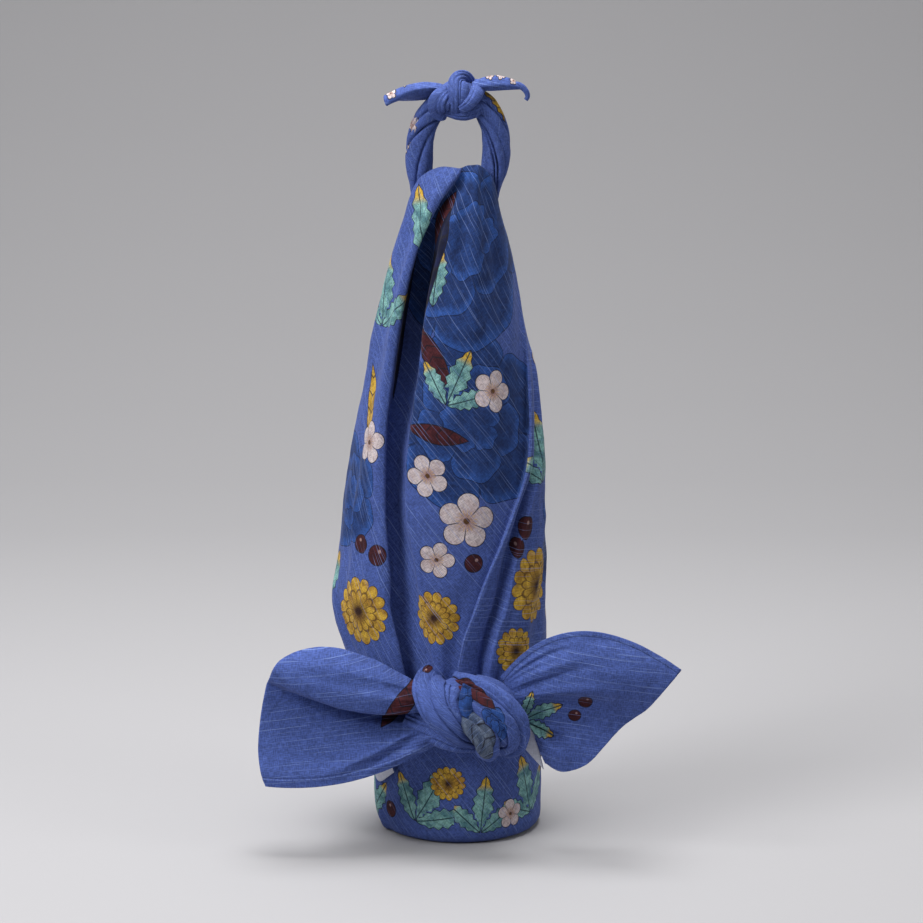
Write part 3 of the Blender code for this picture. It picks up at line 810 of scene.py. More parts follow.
def soft_relief(height, angles, radius):
    """How far the soft folds stand out along a section."""
    total = np.zeros_like(angles)
    for fold in SOFT_FOLDS:
        path = [Stop(*stop) for stop in fold.path]
        above, below = height - path[0].height, path[-1].height - height
        fade = min(1.0, 1 + above / FOLD_FADE, 1 + below / FOLD_FADE)
        if fade <= 0:
            continue
        apart = np.radians((angles - read(path, height).angle + 180) % 360 - 180) * radius
        total += fold.rise * fade * np.exp(-((apart / fold.width) ** 2))
    return total


def body_section(height, columns):
    """The body's outside at this height: its points and their angles, one for each column."""
    anchors = np.array(body_anchors(height))
    row = read(BODY, height)
    step = np.floor(columns).astype(int)
    near = []
    for offset in (-1, 0, 1, 2):
        turn, index = np.divmod(step + offset, len(anchors))
        line = anchors[index].copy()
        line[:, 0] += 360 * turn
        near.append(line)
    angle, out, aside = gentle(*near, (columns - step)[:, None]).T
    sine, cosine = np.sin(np.radians(angle)), np.cos(np.radians(angle))
    x = sine * np.where(sine > 0, row.right, row.left)
    y = -cosine * np.where(cosine > 0, row.front, row.back)
    radius = np.hypot(x, y)
    out = out + soft_relief(height, angle, radius)
    level = np.full_like(x, height)
    if height > RIM_START:
        share = (height - RIM_START) / (BODY[-1].height - RIM_START)
        level = mix(RIM_START, lobe_heights(RIM, angle), share)
    belt = lobe_heights(BELT, angle)
    edge = smooth_step((height - belt + BELT_EDGE_FOOT) / BELT_EDGE)
    out += BELT_LAP * edge * smooth_step((belt + BELT_TOP - height) / BELT_FADE)
    x, y = x + x / radius * out - y / radius * aside, y + y / radius * out + x / radius * aside
    return np.stack([x, y, level], axis=1), angle


def body_heights():
    """The heights of the sheet's rows: close at the rounded foot and the rim, even between."""
    foot = [0.0, 0.5, 1.2, 2.2, 3.4, 5.0, 7.0, 9.0]
    wall = np.linspace(10.5, 323, 190).tolist()
    rim = [324.5, 326, 327.5, 329, 330.2, 331.2, 332]
    return foot + wall + rim


def body_places(points, angles, heights, starts):
    """Where each point of the body lies on each stretch of flat cloth."""
    arc, levels = lengths(points, axis=1), points[..., 2]
    radii = np.array([[0.5 * (read(BODY, height).front + read(BODY, height).left)] for height in heights])

    def across(line):
        at = starts[line]
        return radii * np.radians(angles[:, at : at + 1]) + arc - arc[:, at : at + 1]

    lines = {"left": ROLL_LINE, "front": VALLEY_LINE, "right": HEM_LINE}
    flat = {stretch: np.stack([across(line), levels], axis=2) for stretch, line in lines.items()}
    flat["base"] = np.stack([BASE_RADIUS * np.radians(angles), levels], axis=2)
    return flat


def body_stretches(angles, levels, starts):
    """The stretch of cloth that each of the body's faces is on."""
    stretch_of = np.full((len(levels) - 1, starts[-1]), "right", dtype=object)
    stretch_of[:, : starts[HEM_LINE]] = "front"
    stretch_of[:, : starts[SEAM_LINE]] = "left"
    belt = np.array([lobe_heights(BELT, row[:-1]) for row in angles[:-1]])
    stretch_of[levels[:-1, :-1] < belt] = "base"
    return stretch_of


def body_hem(points, hem_column):
    """Each point's distance from the body's two hems, and its place along them."""
    arc, levels = lengths(points, axis=1), points[..., 2]
    front_gap = np.abs(arc - arc[:, hem_column : hem_column + 1])
    rear_gap = arc[:, -1:] - arc
    right_side = np.arange(arc.shape[1]) >= hem_column
    gap = np.where(right_side, np.minimum(front_gap, rear_gap), FAR)
    gap = np.where(levels < PLAIN_FOOT, FAR, gap)
    return np.stack([gap + HEM_TURNED, levels], axis=2)


def body():
    """The draped body on its flat base, open between the handle's feet."""
    columns = [line + part / count for line, count in enumerate(SPANS) for part in range(count)]
    columns = np.array(columns + [len(SPANS)], float)
    starts = np.concatenate([[0], np.cumsum(SPANS)])
    heights = body_heights()
    sections = [body_section(height, columns) for height in heights]
    points, angles = (np.array(part) for part in zip(*sections))
    points[-1] = mix(points[-1], points[-2], 0.1)
    flat = body_places(points, angles, heights, starts)
    stretch_of = body_stretches(angles, points[..., 2], starts)
    hem = body_hem(points, starts[HEM_LINE])

    disc = np.array([points[0] * (ring, ring, 1) for ring in BASE_RINGS])
    under = disc[..., :2] * (1, -1) - (0, BASE_RADIUS)
    flat = {
        stretch: np.concatenate([under if stretch == "base" else disc[..., :2], placed])
        for stretch, placed in flat.items()
    }
    stretch_of = np.concatenate([np.full((len(disc), starts[-1]), "base", dtype=object), stretch_of])
    hem = np.concatenate([np.full((*disc.shape[:2], 2), float(FAR)), hem])
    points = np.concatenate([disc, points + body_ripple(points)])
    points[:, -1] = points[:, 0]
    obj = sheet_object("body", points, flat, stretch_of, BODY_GRAIN, hem, loop=True, cap=True)
    thicken(obj, BODY_CLOTH, lapped_points(len(points), starts))
    return obj


def lapped_points(rows, starts):
    """The body's points beside its hems, where the cloth lies against itself."""
    lap_start, lap_end = (starts[line] for line in LAP_LINES)
    used = starts[-1]
    lapped = [*range(lap_start, lap_end), *range(used - REAR_COLUMNS, used), *range(FRONT_COLUMNS)]
    return [int(row * used + column) for row in range(rows) for column in lapped]


def body_ripple(points):
    """Cloth's own unevenness, which dies away at the foot and the rim."""
    level = points[..., 2]
    calm = smooth_step((level - 3) / 12) * smooth_step((331 - level) / 10)
    ripple = unevenness(points, BODY_RIPPLES)
    return loop_normals(points) * (ripple * calm)[..., None]


# ----------------------------------------------------------
# Twisted strands and knot wraps.


Groove = namedtuple("Groove", "at depth width twist")


def tube(name, bands, sides, rings, pleats, pleat, grooves, grain, up):
    """A pleated band along a smooth line: an oval section with soft pleats and sharp creases that turn."""
    bands = np.array(bands, float)
    places = np.linspace(0, 1, rings + 1)
    centre = through(bands[:, :3], places)
    width, thick, turn = through(bands[:, 3:], places).T
    ahead = np.gradient(centre, axis=0)
    ahead /= np.linalg.norm(ahead, axis=1, keepdims=True)
    side = np.cross(ahead, np.array(up))
    side /= np.linalg.norm(side, axis=1, keepdims=True)
    out = np.cross(side, ahead)
    angle = np.linspace(0, 360, sides + 1)[None, :]
    swell = 1 + pleat * np.cos(np.radians(pleats * angle + 2 * turn[:, None]))
    for groove in grooves:
        apart = np.abs((angle - groove.at + groove.twist * places[:, None] + 180) % 360 - 180)
        swell = swell - groove.depth * np.exp(-apart / groove.width)
    cosine, sine = np.cos(np.radians(angle))[..., None], np.sin(np.radians(angle))[..., None]
    half = 0.5 * swell[..., None]
    points = centre[:, None] + half * (
        side[:, None] * cosine * width[:, None, None] + out[:, None] * sine * thick[:, None, None]
    )
    points[:, -1] = points[:, 0]
    points = points + loop_normals(points) * unevenness(points, BAND_RIPPLES)[..., None]
    points[:, -1] = points[:, 0]
    round_way = lengths(points, 1)
    facing = sides * 3 // 4
    flat = np.stack([round_way - round_way[:, facing : facing + 1], lengths(points, 0)], axis=2)
    return sheet_object(name, points, flat, name, grain, loop=True)


LEFT_CREASES = named_rows(
    Groove,
    (230, 0.50, 4, 500),
    (262, 0.22, 7, 250),
    (120, 0.30, 5, 250),
    (20, 0.34, 4, 250),
    (320, 0.16, 9, 240),
)
RIGHT_CREASES = named_rows(
    Groove,
    (174, 0.50, 3.5, -205),
    (190, 0.42, 3, -205),
    (120, 0.20, 7, -230),
    (236, 0.18, 8, -200),
    (40, 0.34, 5, -250),
)
WRAP_CREASES = named_rows(
    Groove,
    (222, 0.42, 3.5, 14),
    (246, 0.38, 3, -4),
    (270, 0.44, 3, -10),
    (296, 0.38, 3.5, 8),
    (60, 0.12, 9, 0),
)
FRONT_CREASES = named_rows(
    Groove,
    (214, 0.30, 4, 16),
    (250, 0.46, 3, -6),
    (292, 0.46, 3, -22),
    (318, 0.24, 4, 6),
)


ACROSS = Vector((0, 1, 0))  # sets a band's width across the view
FORWARD = Vector((0, 1, -0.5))  # sets the width of a band that comes forward over the knot
# sides and rings are how finely a band is drawn, and pleat is how deep its soft pleats are, as a share.
Tie = namedtuple("Tie", "name bands sides rings pleats pleat creases grain up", defaults=(20, ACROSS))
TIES = named_rows(
    Tie,
    ("left_strand", LEFT_STRAND, 120, 100, 3, 0.05, LEFT_CREASES, 70),
    ("right_strand", RIGHT_STRAND, 120, 100, 3, 0.05, RIGHT_CREASES, -70),
    ("knot_left_wrap", KNOT_LEFT_WRAP, 64, 60, 4, 0.05, WRAP_CREASES),
    ("knot_top_wrap", KNOT_TOP_WRAP, 64, 60, 3, 0.06, WRAP_CREASES),
    ("knot_right_wrap", KNOT_RIGHT_WRAP, 56, 50, 3, 0.05, WRAP_CREASES[:2]),
    ("knot_under_wrap", KNOT_UNDER_WRAP, 48, 40, 3, 0.06, WRAP_CREASES[:2]),
    ("front_left_wrap", FRONT_LEFT_WRAP, 120, 90, 3, 0.05, FRONT_CREASES, 62, FORWARD),
    ("front_right_wrap", FRONT_RIGHT_WRAP, 120, 90, 3, 0.05, FRONT_CREASES[1:], 70),
    ("front_tongue", FRONT_TONGUE, 60, 60, 2, 0.06, FRONT_CREASES[2:3]),
    ("front_under_wrap", FRONT_UNDER_WRAP, 60, 60, 3, 0.06, FRONT_CREASES),
    ("tail_curl", TAIL_CURL, 24, 40, 2, 0.08, ()),
)
HEART_SIDES, HEART_RINGS = 40, 24
HEART_TILT = 84  # where the ball stops short of its poles, in degrees
HEART_GRAIN = 15


def heart(name, size):
    """A knot's hidden middle, on which its bands lie."""
    angle = np.radians(np.linspace(0, 360, HEART_SIDES + 1))[None, :]
    tilt = np.radians(np.linspace(-HEART_TILT, HEART_TILT, HEART_RINGS + 1))[:, None]
    ball = np.stack(
        [np.cos(tilt) * np.cos(angle), np.cos(tilt) * np.sin(angle), np.sin(tilt) * np.ones_like(angle)],
        axis=2,
    )
    points = ball * (size.across, size.deep, size.high) + (size.x, size.y, size.z)
    points[:, -1] = points[:, 0]
    flat = np.stack([lengths(points, 1), lengths(points, 0)], axis=2)
    return sheet_object(name, points, flat, name, HEART_GRAIN, loop=True)


# ----------------------------------------------------------
# Wings and tails: the cloth's free corners.


def bend(root, middle, rim, share):
    """The even curve that runs from root by middle to rim."""
    rest = 1 - share
    return root * rest * (1 - 2 * share) + middle * 4 * share * rest + rim * share * (2 * share - 1)


def corner_sheet(name, rays, across, along, gathers, thick, folds=(), grain=0, flip=False, hem=None):
    """A corner of the cloth: rays from its knot to its rim, gathered at the knot.

    hem is the width of the hem along its first ray, if that edge has one.
    """
    u = np.linspace(0, 1, across + 1)
    v = np.linspace(0, 1, along + 1)[:, None, None]
    root, middle, rim = (through([ray[end] for ray in rays], u)[None] for end in range(3))
    points = bend(root, middle, rim, v)
    v = v[..., 0]
    count = max(2 * len(rays) - 3, 2)
    ruffle = gathers * np.sin(math.pi * count * u) * (1 - v) ** 1.5 * np.minimum(1, 6 * v)
    fine = 0.5 * gathers * np.sin(math.pi * 2.6 * count * u + 1) * (1 - v) ** 3 * np.minimum(1, 6 * v)
    points[..., 1] += ruffle + fine
    for fold in folds:
        crest = bend(fold.root, fold.middle, fold.rim, v)
        strength = fold.rise * smooth_step((1 - v / fold.reach) * 2.5) * np.minimum(1, 5 * v)
        points[..., 1] -= strength * np.exp(-((np.abs(u - crest) / fold.width) ** 1.5))
    way = lengths(points, 0)
    gap = np.minimum(lengths(points, 1), FAR) if hem else np.full(way.shape, float(FAR))
    normals = row_normals(points, loop=False) * (-1 if flip else 1)
    gap = gap * HEM / (hem or HEM)
    raised = HEM_RAISED * smooth_step((HEM - gap) / HEM_STEP)
    pucker = PUCKER * np.sin(way / PUCKER_PITCH) * np.exp(-(((gap - HEM) / PUCKER_WIDTH) ** 2))
    ripple = unevenness(points, CORNER_RIPPLES)
    points = points + normals * (raised + pucker + ripple * np.minimum(1, 4 * v))[..., None]
    flat = np.stack([points[..., 0] * np.sign(rim[0, 0, 0]), points[..., 2]], axis=2)
    obj = sheet_object(name, points, flat, name, grain, np.stack([gap, way], axis=2), flip=flip)
    thicken(obj, thick)
    return obj


WingFold = namedtuple("WingFold", "rise root middle rim width reach")
LEFT_WING_FOLDS = named_rows(
    WingFold,
    (-3.6, 0.50, 0.47, 0.52, 0.045, 1.3),
    (2, 0.62, 0.62, 0.66, 0.06, 1.3),
    (-3.4, 0.48, 0.40, 0.40, 0.03, 0.5),
    (3.4, 0.39, 0.15, 0.06, 0.045, 0.8),
    (-1.8, 0.26, 0.08, 0, 0.05, 0.6),
    (-1.5, 0.44, 0.24, 0.16, 0.03, 0.4),
    (0.8, 0.16, 0.03, 0, 0.04, 0.6),
    (-1.6, 0.76, 0.74, 0.72, 0.05, 0.9),
    (-1.4, 0.86, 0.88, 0.90, 0.02, 0.5),
)
RIGHT_WING_FOLDS = named_rows(
    WingFold,
    (-3.2, 0.80, 0.72, 0.66, 0.03, 0.7),
    (2, 0.90, 0.82, 0.80, 0.035, 0.9),
    (-2.4, 0.56, 0.47, 0.44, 0.035, 0.8),
    (1.6, 0.46, 0.37, 0.34, 0.05, 0.9),
    (-1.8, 0.32, 0.22, 0.16, 0.03, 0.6),
    (1.2, 0.22, 0.16, 0.12, 0.04, 0.7),
    (-1.4, 0.12, 0.09, 0.07, 0.02, 0.5),
)


# across and along count a corner's faces, and gathers is how deep the cloth ripples at its knot.
WING = {"across": 160, "along": 120, "gathers": 0.5, "thick": CORNER_CLOTH}
TAIL = {"across": 70, "along": 60, "gathers": 0.25, "thick": 0.6}
SMALL_FOLD = {"gathers": 0.1, "thick": 0.5}


def free_corners():
    """The two wings of the front knot, the folds beside them and the two tails of the handle's knot."""

    return [
        corner_sheet("left_wing", LEFT_WING, **WING, folds=LEFT_WING_FOLDS, grain=-6, hem=HEM),
        corner_sheet("right_wing", RIGHT_WING, **WING, folds=RIGHT_WING_FOLDS, grain=-8, hem=NARROW_HEM),
        corner_sheet("front_peak", FRONT_PEAK, across=40, along=40, **SMALL_FOLD),
        corner_sheet("turned_edge", TURNED_EDGE, across=12, along=40, **SMALL_FOLD),
        corner_sheet("tucked_edge", TUCKED_EDGE, across=30, along=30, **SMALL_FOLD),
        corner_sheet("left_tail", LEFT_TAIL, **TAIL, grain=10),
        corner_sheet("right_tail", RIGHT_TAIL, **TAIL, grain=-10, flip=True),
    ]


# ----------------------------------------------------------
# Materials.

INK = (0.009, 0.008, 0.014)
GROUND = (0.061, 0.102, 0.334)
SLUB = (0.220, 0.310, 0.620)
THREAD_SHADE = (0.0, 0.0, 0.005)
HEM_SHADE = (0.012, 0.016, 0.060)
BROAD_DARK = (0.011, 0.030, 0.118)
BROAD_LIGHT = (0.024, 0.080, 0.310)
PETAL_INK = (0.004, 0.010, 0.040)
TEAL_DARK = (0.060, 0.170, 0.205)
TEAL_LIGHT = (0.230, 0.460, 0.430)
TEAL_VEIN = (0.020, 0.050, 0.060)
GOLD = (0.640, 0.400, 0.045)
GOLD_DARK = (0.300, 0.170, 0.014)
MUSTARD_DARK = (0.300, 0.150, 0.020)
BROWN = (0.100, 0.045, 0.016)
EYE = (0.030, 0.012, 0.008)
CREAM = (0.620, 0.540, 0.550)
ROSE = (0.330, 0.200, 0.190)
MAROON = (0.040, 0.007, 0.010)
MAROON_LIGHT = (0.080, 0.015, 0.019)
INK_SHADE = (0.002, 0.003, 0.016)
INK_SHADE_LIGHT = (0.005, 0.008, 0.040)
DUSK = (0.035, 0.055, 0.110)
DUSK_LIGHT = (0.110, 0.140, 0.200)
REVERSE = (0.560, 0.580, 0.680)
REVERSE_SLUB = (0.720, 0.740, 0.800)
SWEEP_GREY = (0.365, 0.360, 0.371)
WHITE, BLACK = (1, 1, 1), (0, 0, 0)

LeafLook = namedtuple("LeafLook", "dark light plump")
LEAF_LOOKS = {
    # near-black: the valley's leaf is painted shade as well as dark print
    "ink_leaf": LeafLook(INK_SHADE, INK_SHADE_LIGHT, 0.22),
    "maroon_leaf": LeafLook(MAROON, MAROON_LIGHT, 0.30),
    "gold_leaf": LeafLook(GOLD_DARK, GOLD, 0.20),
    "dusk_leaf": LeafLook(DUSK, DUSK_LIGHT, 0.30),
}
BLUR = 0.12  # millimetres either side of a printed edge
CLOTH_ROUGHNESS = 0.86
CLOTH_SPECULAR = 0.22
SHEEN = 0.05
SHEEN_ROUGHNESS = 0.45
THREAD_RELIEF = 0.3  # millimetres


class Value:
    """A shader value that takes part in arithmetic: each sign adds one Math node."""

    def __init__(self, nodes, socket):
        self.nodes = nodes
        self.socket = socket

    def __add__(self, other):
        return self.nodes.math("ADD", self, other)

    def __sub__(self, other):
        return self.nodes.math("SUBTRACT", self, other)

    def __rsub__(self, other):
        return self.nodes.math("SUBTRACT", other, self)

    def __mul__(self, other):
        return self.nodes.math("MULTIPLY", self, other)

    def __truediv__(self, other):
        return self.nodes.math("DIVIDE", self, other)

    def __pow__(self, other):
        return self.nodes.math("POWER", self, other)

    def __abs__(self):
        return self.nodes.math("ABSOLUTE", self)

    __radd__ = __add__
    __rmul__ = __mul__


class Nodes:
    """Short ways to add nodes to one material. What goes into a node is a number or a Value."""

    def __init__(self, name):
        self.material = bpy.data.materials.new(name)
        self.material.use_nodes = True
        self.tree = self.material.node_tree
        self.shader = self.tree.nodes["Principled BSDF"]

    def plug(self, socket, value):
        if isinstance(value, Value):
            self.tree.links.new(value.socket, socket)
        else:
            socket.default_value = value

    def math(self, operation, *values, clamp=False):
        node = self.tree.nodes.new("ShaderNodeMath")
        node.operation = operation
        node.use_clamp = clamp
        for socket, value in zip(node.inputs, values):
            self.plug(socket, value)
        return Value(self, node.outputs[0])

    def band(self, value, low, high):
        """0 below low and 1 above high, smooth between; low may be the higher."""
        node = self.tree.nodes.new("ShaderNodeMapRange")
        node.interpolation_type = "SMOOTHSTEP"
        self.plug(node.inputs["Value"], value)
        node.inputs["From Min"].default_value = low
        node.inputs["From Max"].default_value = high
        return Value(self, node.outputs["Result"])

    def mix(self, share, first, second):
        """A blend of two colours."""
        node = self.tree.nodes.new("ShaderNodeMix")
        node.data_type = "RGBA"
        self.plug(node.inputs["Factor"], share)
        for socket, colour in zip((node.inputs[6], node.inputs[7]), (first, second)):
            self.plug(socket, colour if isinstance(colour, Value) else (*colour, 1.0))
        return Value(self, node.outputs[2])

    def attribute(self, name):
        """The three numbers of a corner attribute."""
        node = self.tree.nodes.new("ShaderNodeAttribute")
        node.attribute_name = name
        parts = self.tree.nodes.new("ShaderNodeSeparateXYZ")
        self.tree.links.new(node.outputs["Vector"], parts.inputs[0])
        return [Value(self, part) for part in parts.outputs]

    def noise(self, x, y, z, detail=1.0, roughness=0.5):
        place = self.tree.nodes.new("ShaderNodeCombineXYZ")
        for socket, value in zip(place.inputs, (x, y, z)):
            self.plug(socket, value)
        node = self.tree.nodes.new("ShaderNodeTexNoise")
        self.tree.links.new(place.outputs[0], node.inputs["Vector"])
        node.inputs["Scale"].default_value = 1.0
        node.inputs["Detail"].default_value = detail
        node.inputs["Roughness"].default_value = roughness
        return Value(self, node.outputs["Fac"])


def polar(nodes, along, across):
    """Radius and angle of a place in a motif."""
    return nodes.math("SQRT", along**2.0 + across**2.0), nodes.math("ARCTAN2", across, along)


def wave(nodes, function, angle):
    """How far an angle's sine or cosine is from nothing: 0 to 1."""
    return abs(nodes.math(function, angle))


def inked(nodes, base, colour, inside, line):
    """colour over base, with an ink line, where inside (millimetres from the motif's edge) is positive."""
    drawn = nodes.mix(nodes.band(inside, line, line + 0.25), INK, colour)
    return nodes.mix(nodes.band(inside, -BLUR, BLUR), base, drawn)


def peony(nodes, base, mottle, kind):
    """Big peonies in deep blue: three rings of petals, each lighter at its lip, finely veined and inked."""
    along, across, size = nodes.attribute("print_" + kind)
    radius, angle = polar(nodes, along, across)
    even = wave(nodes, "COSINE", angle * 2.5)
    odd = wave(nodes, "SINE", angle * 2.5)
    frill = nodes.math("SINE", angle * 13.0) * 0.016
    veins = wave(nodes, "SINE", angle * 41.0)
    colour = base
    for petals, foot, rise in ((even, 0.74, 0.24), (odd, 0.46, 0.18), (even, 0.24, 0.10)):
        gap = (petals**0.5 * rise + foot + frill - radius) * size
        lip = nodes.band(gap, 7.0, 0.6) * (veins * 0.35 + 0.55)
        shade = nodes.math("ADD", lip, mottle * 0.35, clamp=True)
        parting = nodes.band(petals, 0.07, 0.02) * nodes.band(gap, 9.0, 2.0)
        petal = nodes.mix(shade, BROAD_DARK, BROAD_LIGHT)
        petal = nodes.mix(parting * 0.8, petal, PETAL_INK)
        petal = nodes.mix(nodes.band(gap, 0.55, 0.25), petal, PETAL_INK)
        colour = nodes.mix(nodes.band(gap, -BLUR, BLUR), colour, petal)
    return colour


def long_leaf(nodes, base, mottle, kind):
    """Long narrow leaves of one colour, with side veins in ink."""
    look = LEAF_LOOKS[kind]
    along, across, size = nodes.attribute("print_" + kind)
    wide = abs(across)
    inside = ((1.0 - along**2.0) * look.plump - wide) * size
    veins = nodes.band(wave(nodes, "SINE", along * 9.0 - wide * 6.0), 0.30, 0.04)
    colour = nodes.mix(veins * 0.9, nodes.mix(mottle, look.dark, look.light), INK)
    return inked(nodes, base, colour, inside, 0.35)


def teal_leaf(nodes, base, mottle):
    """Teal leaves with cut margins, ink veins and a gold tip."""
    along, across, size = nodes.attribute("print_leaf")
    wide = abs(across)
    teeth = nodes.math("PINGPONG", along * 6.0 + 20.0, 1.0)
    inside = ((1.0 - along**2.0) * (0.30 + teeth * 0.12) - wide) * size
    rib = along * 3.0 - wide * 4.5
    veins = nodes.band(wave(nodes, "SINE", rib * 3.14), 0.22, 0.02)
    spine = nodes.band(wide * size, 0.45, 0.15)
    dark = nodes.math("MAXIMUM", veins * 0.55, spine)
    teal = nodes.mix(nodes.math("ADD", mottle, 0.1, clamp=True), TEAL_DARK, TEAL_LIGHT)
    tip = nodes.mix(nodes.band(along, 0.42, 0.72), teal, GOLD)
    return inked(nodes, base, nodes.mix(dark, tip, TEAL_VEIN), inside, 0.30)


def blossom(nodes, base, mottle):
    """Five-petalled cream blossoms with a rosy throat and small stamens."""
    along, across, size = nodes.attribute("print_blossom")
    radius, angle = polar(nodes, along, across)
    petals = wave(nodes, "COSINE", angle * 2.5)
    inside = (0.55 + petals**0.55 * 0.42 - radius) * size
    parting = nodes.band(petals, 0.16, 0.02) * nodes.band(radius, 0.2, 0.35)
    throat = nodes.band(radius, 0.50, 0.12)
    speckled = nodes.math("ADD", throat * 0.7, mottle * 0.35, clamp=True)
    colour = nodes.mix(speckled, CREAM, ROSE)
    stamens = nodes.band(wave(nodes, "SINE", angle * 7.5), 0.25, 0.05)
    ring = stamens * nodes.band(abs(radius - 0.26), 0.13, 0.10)
    colour = nodes.mix(ring, colour, GOLD)
    colour = nodes.mix(nodes.band(radius, 0.13, 0.09), colour, BROWN)
    return inked(nodes, base, nodes.mix(parting, colour, INK), inside, 0.32)


def aster(nodes, base, mottle):
    """Mustard asters: two rings of petals round a brown eye."""
    along, across, size = nodes.attribute("print_aster")
    radius, angle = polar(nodes, along, across)
    outer = wave(nodes, "COSINE", angle * 7.0)
    inner = wave(nodes, "SINE", angle * 7.0)
    inside = (0.80 + outer**0.6 * 0.20 - radius) * size
    to_inner = 0.46 + inner**0.6 * 0.16 - radius
    in_inner = nodes.band(to_inner, 0.0, 0.02)
    outer_gap = nodes.band(outer, 0.20, 0.04) * nodes.mix(in_inner, WHITE, BLACK)
    inner_gap = nodes.band(inner, 0.24, 0.05) * in_inner
    rim = nodes.band(abs(to_inner), 0.05, 0.02)
    lines = nodes.math("MAXIMUM", nodes.math("MAXIMUM", outer_gap, inner_gap), rim * 0.8)
    colour = nodes.mix(mottle * 0.8, GOLD, MUSTARD_DARK)
    colour = nodes.mix(nodes.band(radius, 0.44, 0.20) * 0.7, colour, BROWN)
    colour = nodes.mix(nodes.band(radius, 0.22, 0.06), colour, EYE)
    return inked(nodes, base, nodes.mix(lines, colour, BROWN), inside, 0.25)


def berry(nodes, base, mottle):
    """Maroon berries with a small light spot."""
    along, across, size = nodes.attribute("print_berry")
    radius, _ = polar(nodes, along, across)
    shine, _ = polar(nodes, along - 0.3, across - 0.3)
    colour = nodes.mix(mottle * 0.6, MAROON, MAROON_LIGHT)
    colour = nodes.mix(nodes.band(shine, 0.22, 0.10), colour, ROSE)
    return inked(nodes, base, colour, (0.95 - radius) * size, 0.3)


def slub_lines(nodes, along, across, pitch, width, share):
    """Single thick threads, each in its own place within its strip of cloth, that come and go along it."""
    sway = nodes.noise(along * 0.09, across * 0.09, pitch)
    strip = (across + sway * 0.4) / pitch
    number = nodes.math("FLOOR", strip)
    place = nodes.math("FRACT", nodes.math("SINE", number * 12.99) * 437.6)
    apart = abs(strip - number - (place * 0.7 + 0.15))
    thread = nodes.band(apart * pitch, width, 0.35 * width)
    bright = nodes.math("FRACT", place * 9.7)
    shows = nodes.noise(along * 0.040, number * 3.7, pitch)
    return thread * (bright * 0.65 + 0.35) * nodes.band(shows, share, share + 0.20)


def weave(nodes):
    """(speckle, slubs, height): the threads' light and shade, thick slub streaks and relief."""
    along, across, stretch = nodes.attribute("thread")
    fine, long = 2.6, 0.40
    weft = nodes.noise(along * long, across * fine, stretch)
    warp = nodes.noise(across * long, along * fine, stretch)
    grain = (weft + warp) * 0.5
    slubs = slub_lines(nodes, along, across, 3.7, 0.17, 0.38)
    slubs = nodes.math("MAXIMUM", slubs, slub_lines(nodes, along, across, 2.3, 0.13, 0.46))
    slubs = nodes.math("MAXIMUM", slubs, slub_lines(nodes, across, along, 6.1, 0.14, 0.58) * 0.3)
    return nodes.band(grain, 0.38, 0.62), slubs, grain * 0.7 + slubs * 0.5


def hem_marks(nodes):
    """(stitches, fold): the thread's dashes and the crease along the hem's inner edge, each 0 to 1."""
    gap, way, _ = nodes.attribute("hem")
    near = nodes.band(abs(gap - 3.9), 0.34, 0.16)
    dash = nodes.band(nodes.math("PINGPONG", way, 1.5), 0.35, 0.55)
    return near * dash, nodes.band(abs(gap - 4.6), 0.7, 0.1)


def finish_cloth(nodes, colour, height, strength):
    bump = nodes.tree.nodes.new("ShaderNodeBump")
    bump.inputs["Strength"].default_value = strength
    bump.inputs["Distance"].default_value = THREAD_RELIEF * MM
    nodes.plug(bump.inputs["Height"], height)
    inputs = nodes.shader.inputs
    nodes.plug(inputs["Base Color"], colour)
    nodes.tree.links.new(bump.outputs["Normal"], inputs["Normal"])
    inputs["Roughness"].default_value = CLOTH_ROUGHNESS
    inputs["Specular IOR Level"].default_value = CLOTH_SPECULAR
    inputs["Sheen Weight"].default_value = SHEEN
    inputs["Sheen Roughness"].default_value = SHEEN_ROUGHNESS
    return nodes.material


def printed_cloth():
    """The cloth's right side: blue slub cotton with its print, hems and stitches."""
    nodes = Nodes("Printed slub cotton")
    along, across, stretch = nodes.attribute("thread")
    speckle, slubs, height = weave(nodes)
    shading = nodes.noise(along * 0.16, across * 0.16, stretch, 3.0, 0.6)
    mottle = nodes.band(shading, 0.35, 0.65)
    dark, light = (tuple(share * part for part in GROUND) for share in (0.93, 1.07))
    colour = nodes.mix(mottle, dark, light)
    for kind in PEONIES:
        colour = peony(nodes, colour, mottle, kind)
    for kind in LONG_LEAVES:
        colour = long_leaf(nodes, colour, mottle, kind)
    for motif in (teal_leaf, berry, blossom, aster):
        colour = motif(nodes, colour, mottle)
    colour = nodes.mix((1.0 - speckle) * 0.46, colour, THREAD_SHADE)
    colour = nodes.mix(slubs * 0.58, colour, SLUB)
    # the valley's near-black leaf goes over the threads too, as it is painted shade as well as dark print
    colour = long_leaf(nodes, colour, mottle, INK_AND_SHADE_KIND)
    stitches, fold = hem_marks(nodes)
    # the hem's crease is darkened with painted shade, and dented by the bump below
    colour = nodes.mix(fold * 0.20, colour, HEM_SHADE)
    colour = nodes.mix(stitches * 0.20, colour, SLUB)
    return finish_cloth(nodes, colour, height + stitches * 0.8 - fold * 0.6, 0.55)


def reverse_cloth():
    """The cloth's wrong side, on which no print is drawn."""
    nodes = Nodes("Cloth reverse")
    speckle, slubs, height = weave(nodes)
    colour = nodes.mix(speckle * 0.5, tuple(0.72 * part for part in REVERSE), REVERSE)
    colour = nodes.mix(slubs * 0.4, colour, REVERSE_SLUB)
    return finish_cloth(nodes, colour, height, 0.5)


# ----------------------------------------------------------
# Studio: a seamless grey sweep, soft lights and the camera. All sizes and places are metres.

FLOOR_FRONT, FLOOR_NEAR = -3.0, -0.6
WALL_BACK, WALL_HEIGHT = 1.76, 4.0
BEND_RADIUS, BEND_STEPS = 1.1, 12
SWEEP_HALF = 5.0

